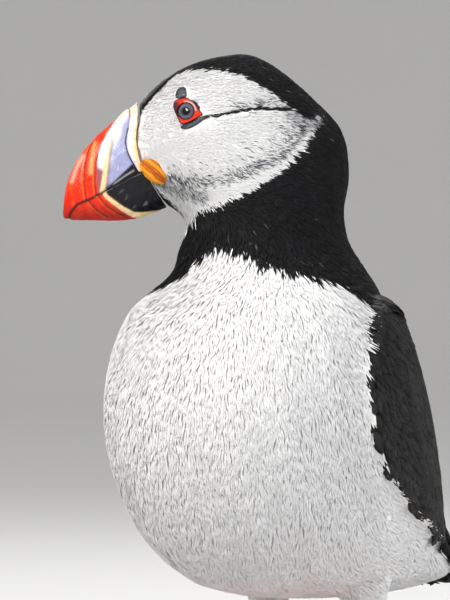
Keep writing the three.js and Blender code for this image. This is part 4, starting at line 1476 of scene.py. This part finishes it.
def build_eyes():
    """Eyeballs, their rims and the small plates above and below them."""
    horn = bpy.context.scene.puffin_horn
    for side in SIDES:
        ball = fused("eyeball_" + side, ("eye_" + side,), 0.3, 4)
        points = points_of(ball.data)
        u, z, _ = head_place(points)
        away = np.hypot(u - EYE_CENTRE[0], z - EYE_CENTRE[1])
        spoke = np.arctan2(z - EYE_CENTRE[1], u - EYE_CENTRE[0])
        rays = 0.5 + 0.5 * np.sin(spoke * 38 + 2 * waves(points, 1 * MM, 81))
        iris = np.array(horn.iris) * mix(0.8, 1.15, rays)[:, None]
        colours = mix(np.array(PUPIL_TONE), iris, smooth_step(away, *PUPIL_EDGE)[:, None])
        ring = smooth_step(away, *IRIS_EDGE)[:, None]
        colours = mix(colours, np.array(EYE_RING_TONE), ring)
        set_colours(ball.data, colours)
        unwrap(ball)
        finish_piece(ball, eye_material(), "eye", "eye_" + side)
        sheet = EyeSheet(side)
        rim = eye_rim(side, sheet)
        unwrap(rim)
        finish_piece(rim, bare_skin_material(), "red_rim", "eye_rim_" + side)
        for name, outline in (("upper", UPPER_PLATE), ("lower", LOWER_PLATE)):
            plate = eye_plate(f"{name}_plate_{side}", outline, sheet, 0.75)
            unwrap(plate)
            finish_piece(plate, horn_material(), "slate_horn", f"eye_plate_{name}_{side}")


def keep_on_floor(mesh):
    """Lifts the points that rounding pushed under the floor."""
    points = points_of(mesh)
    points[:, 2] = np.maximum(points[:, 2], 0.0)
    set_points(mesh, points)


def build_legs():
    """Shanks, webbed feet and claws."""
    horn = bpy.context.scene.puffin_horn
    orange = np.array(horn.leg)
    for side in SIDES:
        nodes = ("shank_" + side, "foot_" + side)
        leg = fused("leg_" + side, nodes, 0.56, 3)
        points = points_of(leg.data)
        uneven = 1 + 0.12 * waves(points, 4 * MM, 95)
        colours = orange * uneven[:, None]
        yellow = (smooth_step(waves(points, 7 * MM, 96), 0.2, 1.4) * 0.35)[:, None]
        colours = mix(colours, np.array(horn.orange), yellow)
        set_colours(leg.data, colours.clip(0.003, 0.95))
        keep_on_floor(leg.data)
        unwrap(leg)
        finish_piece(leg, leg_material(), "orange_skin", *nodes)
        for toe in ("inner", "middle", "outer"):
            node = f"claw_{side}_{toe}"
            claw = fused("horn_" + node, (node,), 0.32, 2)
            uneven = 1.2 + 0.3 * waves(points_of(claw.data), 2 * MM, 97)
            set_colours(claw.data, np.array(horn.dark) * uneven[:, None])
            keep_on_floor(claw.data)
            unwrap(claw)
            finish_piece(claw, claw_material(), "black_claw", node)


# Studio: the camera's sensor in mm, the dish in metres, and each light's name, degrees round from
# the camera, height above its aim, distance and breadth in metres, and colour

SENSOR = 36.0
DISH_SIDES = 64
DISH_FLAT = 3.5
DISH_CURVE = 2.2
AIM_OF_LIGHTS = 0.15
LIGHTS = (("key_light", -38, 0.62, 0.85, 0.55, (1.0, 0.985, 0.96)),
          ("fill_light", 52, 0.25, 1.0, 0.8, (0.96, 0.98, 1.0)),
          ("rim_light", 165, 0.75, 0.8, 0.4, (1.0, 1.0, 1.0)))


def stage_material(name, colour, scale):
    """Plain matt paper."""
    material, tree, shader = start_material(name, 0.8, Specular_IOR_Level=0.2)
    mottle = grouped(tree, mottle_group(), Patch_Scale=scale, Fleck_Scale=scale * 30, Depth=0.03)
    mottle.inputs["Colour"].default_value = (*colour, 1)
    tree.links.new(mottle.outputs["Colour"], shader.inputs["Base Color"])
    vary_roughness(tree, shader, mottle.outputs["Mask"], 0.75, 0.85)
    add_bump(tree, shader, mottle.outputs["Mask"], 0.02, 0.0005)
    return material


def add_light(name, target, azimuth, height, distance, size, colour, power):
    """An area light that faces the target from an azimuth in degrees."""
    light = bpy.data.lights.new(name, "AREA")
    light.shape = "DISK"
    light.size = size
    light.energy = power
    light.color = colour
    lamp = bpy.data.objects.new(name, light)
    bpy.context.scene.collection.objects.link(lamp)
    turn = math.radians(azimuth)
    outward = Vector((math.sin(turn), -math.cos(turn), 0))
    lamp.location = target + outward * distance + Vector((0, 0, height))
    lamp.rotation_euler = (target - lamp.location).to_track_quat("-Z", "Y").to_euler()


def paper_dish():
    """A flat round floor whose rim curves up into a wall."""
    profile = [(out, 0.0) for out in (0.25, 0.6, 1.2, 2.2, DISH_FLAT)]
    for degrees in range(6, 91, 6):
        rise = math.radians(degrees)
        profile.append((DISH_FLAT + DISH_CURVE * math.sin(rise), DISH_CURVE * (1 - math.cos(rise))))
    profile.append((DISH_FLAT + DISH_CURVE, 3.4))
    turns = np.linspace(0, 2 * math.pi, DISH_SIDES, endpoint=False)
    rings = [np.stack((out * np.cos(turns), out * np.sin(turns), np.full(DISH_SIDES, height)), 1)
             for out, height in profile]
    points = np.concatenate([np.zeros((1, 3))] + rings)
    faces = [(0, 1 + k, 1 + (k + 1) % DISH_SIDES) for k in range(DISH_SIDES)]
    for ring in range(len(rings) - 1):
        for k in range(DISH_SIDES):
            start = 1 + ring * DISH_SIDES
            a, b = start + k, start + (k + 1) % DISH_SIDES
            faces += [(a, a + DISH_SIDES, b + DISH_SIDES), (a, b + DISH_SIDES, b)]
    return mesh_from("studio_floor", points, np.array(faces))


def build_stage():
    """Floor, soft lights and the camera."""
    studio = bpy.context.scene.puffin_studio
    turn = math.radians(studio.azimuth)
    toward = np.array((math.sin(turn), -math.cos(turn), 0))
    right = np.array((math.cos(turn), math.sin(turn), 0))
    floor = add_object("studio_floor", paper_dish())
    shade_smooth(floor.data)
    floor.data.materials.append(stage_material("Studio Paper", tuple(studio.paper), 4.0))
    target = Vector(NECK_FOOT + UP * AIM_OF_LIGHTS)
    for (name, offset, *settings), power in zip(LIGHTS, (studio.key, studio.fill, studio.rim)):
        add_light(name, target, studio.azimuth + offset, *settings, power)
    world = bpy.data.worlds.new("Studio Air")
    world.use_nodes = True
    world.node_tree.nodes["Background"].inputs["Color"].default_value = (*tuple(studio.air), 1)
    world.node_tree.nodes["Background"].inputs["Strength"].default_value = studio.air_strength
    bpy.context.scene.world = world
    bpy.context.scene.view_settings.view_transform = "Standard"
    lens = bpy.data.cameras.new("camera")
    lens.lens = studio.lens
    lens.sensor_width = SENSOR
    lens.clip_start = 0.01
    camera = bpy.data.objects.new("camera", lens)
    bpy.context.scene.collection.objects.link(camera)
    aim = NECK_FOOT + right * studio.aim_across + UP * studio.aim_height
    distance = studio.lens * studio.view_height / SENSOR
    camera.location = Vector(aim + toward * distance)
    camera.rotation_euler = Vector(-toward).to_track_quat("-Z", "Y").to_euler()
    bpy.context.scene.camera = camera


# Add-on


class PuffinPlumage(bpy.types.PropertyGroup):
    """Feathers and the skin under them."""

    white: bpy.props.FloatVectorProperty(
        name="White", description="White of face and underparts", subtype="COLOR",
        default=(0.93, 0.93, 0.93))
    black: bpy.props.FloatVectorProperty(
        name="Black", description="Black of crown and collar", subtype="COLOR",
        default=(0.006, 0.006, 0.007))
    back: bpy.props.FloatVectorProperty(
        name="Back", description="Black of back, wings and tail", subtype="COLOR",
        default=(0.0125, 0.0118, 0.0118))
    face_grey: bpy.props.FloatVectorProperty(
        name="Face Flecks", description="Flecks of the cheek", subtype="COLOR",
        default=(0.40, 0.40, 0.44))
    head_depth: bpy.props.FloatProperty(
        name="Head Coat", description="Depth of the coat on the head", unit="LENGTH",
        default=0.0006)
    body_depth: bpy.props.FloatProperty(
        name="Body Coat", description="Depth of the coat on the body", unit="LENGTH",
        default=0.0009)
    face_density: bpy.props.FloatProperty(
        name="Face Tufts", description="Tufts on each square millimetre of the face", default=5.7)
    body_density: bpy.props.FloatProperty(
        name="Body Tufts", description="Tufts on each square millimetre of the breast",
        default=1.55)
    vane_length: bpy.props.FloatProperty(
        name="Back Feathers", description="Length of a middling back feather", unit="LENGTH",
        default=0.0095)
    vane_spacing: bpy.props.FloatProperty(
        name="Back Spacing", description="Space between back feathers", unit="LENGTH",
        default=0.0021)
    seed: bpy.props.IntProperty(name="Seed", description="Start of every random choice", default=7)


class PuffinHorn(bpy.types.PropertyGroup):
    """Colours of bill, eyes and legs."""

    blue: bpy.props.FloatVectorProperty(
        name="Shield", description="Lavender blue of the bill's base", subtype="COLOR",
        default=(0.23, 0.24, 0.39))
    white: bpy.props.FloatVectorProperty(
        name="Pale Horn", description="Palest horn", subtype="COLOR", default=(0.64, 0.62, 0.67))
    cream: bpy.props.FloatVectorProperty(
        name="Cream", description="Cream ridge and cere", subtype="COLOR",
        default=(0.62, 0.45, 0.24))
    red: bpy.props.FloatVectorProperty(
        name="Red", description="Red of bill tip and eye rim", subtype="COLOR",
        default=(0.60, 0.017, 0.003))
    orange: bpy.props.FloatVectorProperty(
        name="Orange", description="Orange streaks of the bill", subtype="COLOR",
        default=(0.76, 0.10, 0.018))
    gape: bpy.props.FloatVectorProperty(
        name="Gape", description="Skin at the corner of the mouth", subtype="COLOR",
        default=(0.72, 0.26, 0.004))
    dark: bpy.props.FloatVectorProperty(
        name="Dark Horn", description="Near black horn", subtype="COLOR",
        default=(0.006, 0.0055, 0.007))
    slate: bpy.props.FloatVectorProperty(
        name="Slate", description="Small plates at the eye", subtype="COLOR",
        default=(0.055, 0.06, 0.075))
    iris: bpy.props.FloatVectorProperty(
        name="Iris", description="Iris of the eye", subtype="COLOR", default=(0.06, 0.066, 0.085))
    leg: bpy.props.FloatVectorProperty(
        name="Leg", description="Legs and webs", subtype="COLOR", default=(0.78, 0.115, 0.014))


class PuffinStudio(bpy.types.PropertyGroup):
    """Floor, lights and camera."""

    paper: bpy.props.FloatVectorProperty(
        name="Paper", description="Colour of the floor", subtype="COLOR",
        default=(0.60, 0.60, 0.60))
    air: bpy.props.FloatVectorProperty(
        name="Air", description="Colour of the light from all round", subtype="COLOR",
        default=(1.0, 0.99, 0.98))
    air_strength: bpy.props.FloatProperty(
        name="Air Strength", description="Strength of the light from all round", default=0.84)
    key: bpy.props.FloatProperty(
        name="Key", description="Main light, W", subtype="POWER", default=15.0)
    fill: bpy.props.FloatProperty(
        name="Fill", description="Second light, W", subtype="POWER", default=6.5)
    rim: bpy.props.FloatProperty(
        name="Rim", description="Light from behind, W", subtype="POWER", default=5.0)
    azimuth: bpy.props.FloatProperty(
        name="Azimuth", description="Camera's direction from the bird, degrees", default=40.0)
    lens: bpy.props.FloatProperty(name="Lens", description="Focal length, mm", default=250.0)
    view_height: bpy.props.FloatProperty(
        name="View Height", description="Height of the view at the bird", unit="LENGTH",
        default=0.186)
    aim_across: bpy.props.FloatProperty(
        name="Aim Across", description="Middle of the view right of the neck", unit="LENGTH",
        default=-0.0124)
    aim_height: bpy.props.FloatProperty(
        name="Aim Height", description="Middle of the view above the floor", unit="LENGTH",
        default=0.1307)


class PUFFIN_OT_skin(bpy.types.Operator):
    """Fuse the flesh into one skin and mark it"""

    bl_idname = "puffin.skin"
    bl_label = "Skin"

    def execute(self, context):
        build_skin()
        return {"FINISHED"}


class PUFFIN_OT_coat(bpy.types.Operator):
    """Grow the soft feathers of head, neck, breast and belly"""

    bl_idname = "puffin.coat"
    bl_label = "Soft Feathers"

    def execute(self, context):
        build_coat()
        return {"FINISHED"}


class PUFFIN_OT_upperparts(bpy.types.Operator):
    """Grow the shingled feathers of back and wings"""

    bl_idname = "puffin.upperparts"
    bl_label = "Back and Wings"

    def execute(self, context):
        build_upperparts()
        return {"FINISHED"}


class PUFFIN_OT_flight(bpy.types.Operator):
    """Set the long feathers of wing tips and tail"""

    bl_idname = "puffin.flight"
    bl_label = "Wing Tips and Tail"

    def execute(self, context):
        build_primaries()
        build_tail()
        build_tail_coverts()
        return {"FINISHED"}


class PUFFIN_OT_bill(bpy.types.Operator):
    """Shape and paint the bill, its cere and the corners of the mouth"""

    bl_idname = "puffin.bill"
    bl_label = "Bill"

    def execute(self, context):
        build_bill()
        build_cere()
        build_rosettes()
        return {"FINISHED"}


class PUFFIN_OT_eyes(bpy.types.Operator):
    """Shape and paint the eyes, their rims and plates"""

    bl_idname = "puffin.eyes"
    bl_label = "Eyes"

    def execute(self, context):
        build_eyes()
        return {"FINISHED"}


class PUFFIN_OT_legs(bpy.types.Operator):
    """Shape and paint the legs, webs and claws"""

    bl_idname = "puffin.legs"
    bl_label = "Legs"

    def execute(self, context):
        build_legs()
        return {"FINISHED"}


class PUFFIN_OT_stage(bpy.types.Operator):
    """Set the floor, lights and camera"""

    bl_idname = "puffin.stage"
    bl_label = "Studio"

    def execute(self, context):
        build_stage()
        return {"FINISHED"}


OPERATORS = (PUFFIN_OT_skin, PUFFIN_OT_coat, PUFFIN_OT_upperparts, PUFFIN_OT_flight, PUFFIN_OT_bill,
             PUFFIN_OT_eyes, PUFFIN_OT_legs, PUFFIN_OT_stage)


class PUFFIN_PT_sidebar(bpy.types.Panel):
    """The puffin's sizes, colours and pieces"""

    bl_label = "Atlantic Puffin"
    bl_idname = "PUFFIN_PT_sidebar"
    bl_space_type = "VIEW_3D"
    bl_region_type = "UI"
    bl_category = "Puffin"

    def draw(self, context):
        for group in (context.scene.puffin_plumage, context.scene.puffin_horn,
                      context.scene.puffin_studio):
            box = self.layout.box()
            for name in group.__annotations__:
                box.prop(group, name)
        for operator in OPERATORS:
            self.layout.operator(operator.bl_idname)


CLASSES = (PuffinPlumage, PuffinHorn, PuffinStudio, *OPERATORS, PUFFIN_PT_sidebar)


def register():
    """Makes the settings, operators and panel known to Blender."""
    for cls in CLASSES:
        bpy.utils.register_class(cls)
    bpy.types.Scene.puffin_plumage = bpy.props.PointerProperty(type=PuffinPlumage)
    bpy.types.Scene.puffin_horn = bpy.props.PointerProperty(type=PuffinHorn)
    bpy.types.Scene.puffin_studio = bpy.props.PointerProperty(type=PuffinStudio)


def unregister():
    """Takes them away again."""
    del bpy.types.Scene.puffin_studio
    del bpy.types.Scene.puffin_horn
    del bpy.types.Scene.puffin_plumage
    for cls in reversed(CLASSES):
        bpy.utils.unregister_class(cls)


def main():
    """Builds the whole puffin and its studio."""
    register()
    bpy.ops.puffin.skin()
    bpy.ops.puffin.coat()
    bpy.ops.puffin.upperparts()
    bpy.ops.puffin.flight()
    bpy.ops.puffin.bill()
    bpy.ops.puffin.eyes()
    bpy.ops.puffin.legs()
    bpy.ops.puffin.stage()


if __name__ == "__main__":
    main()
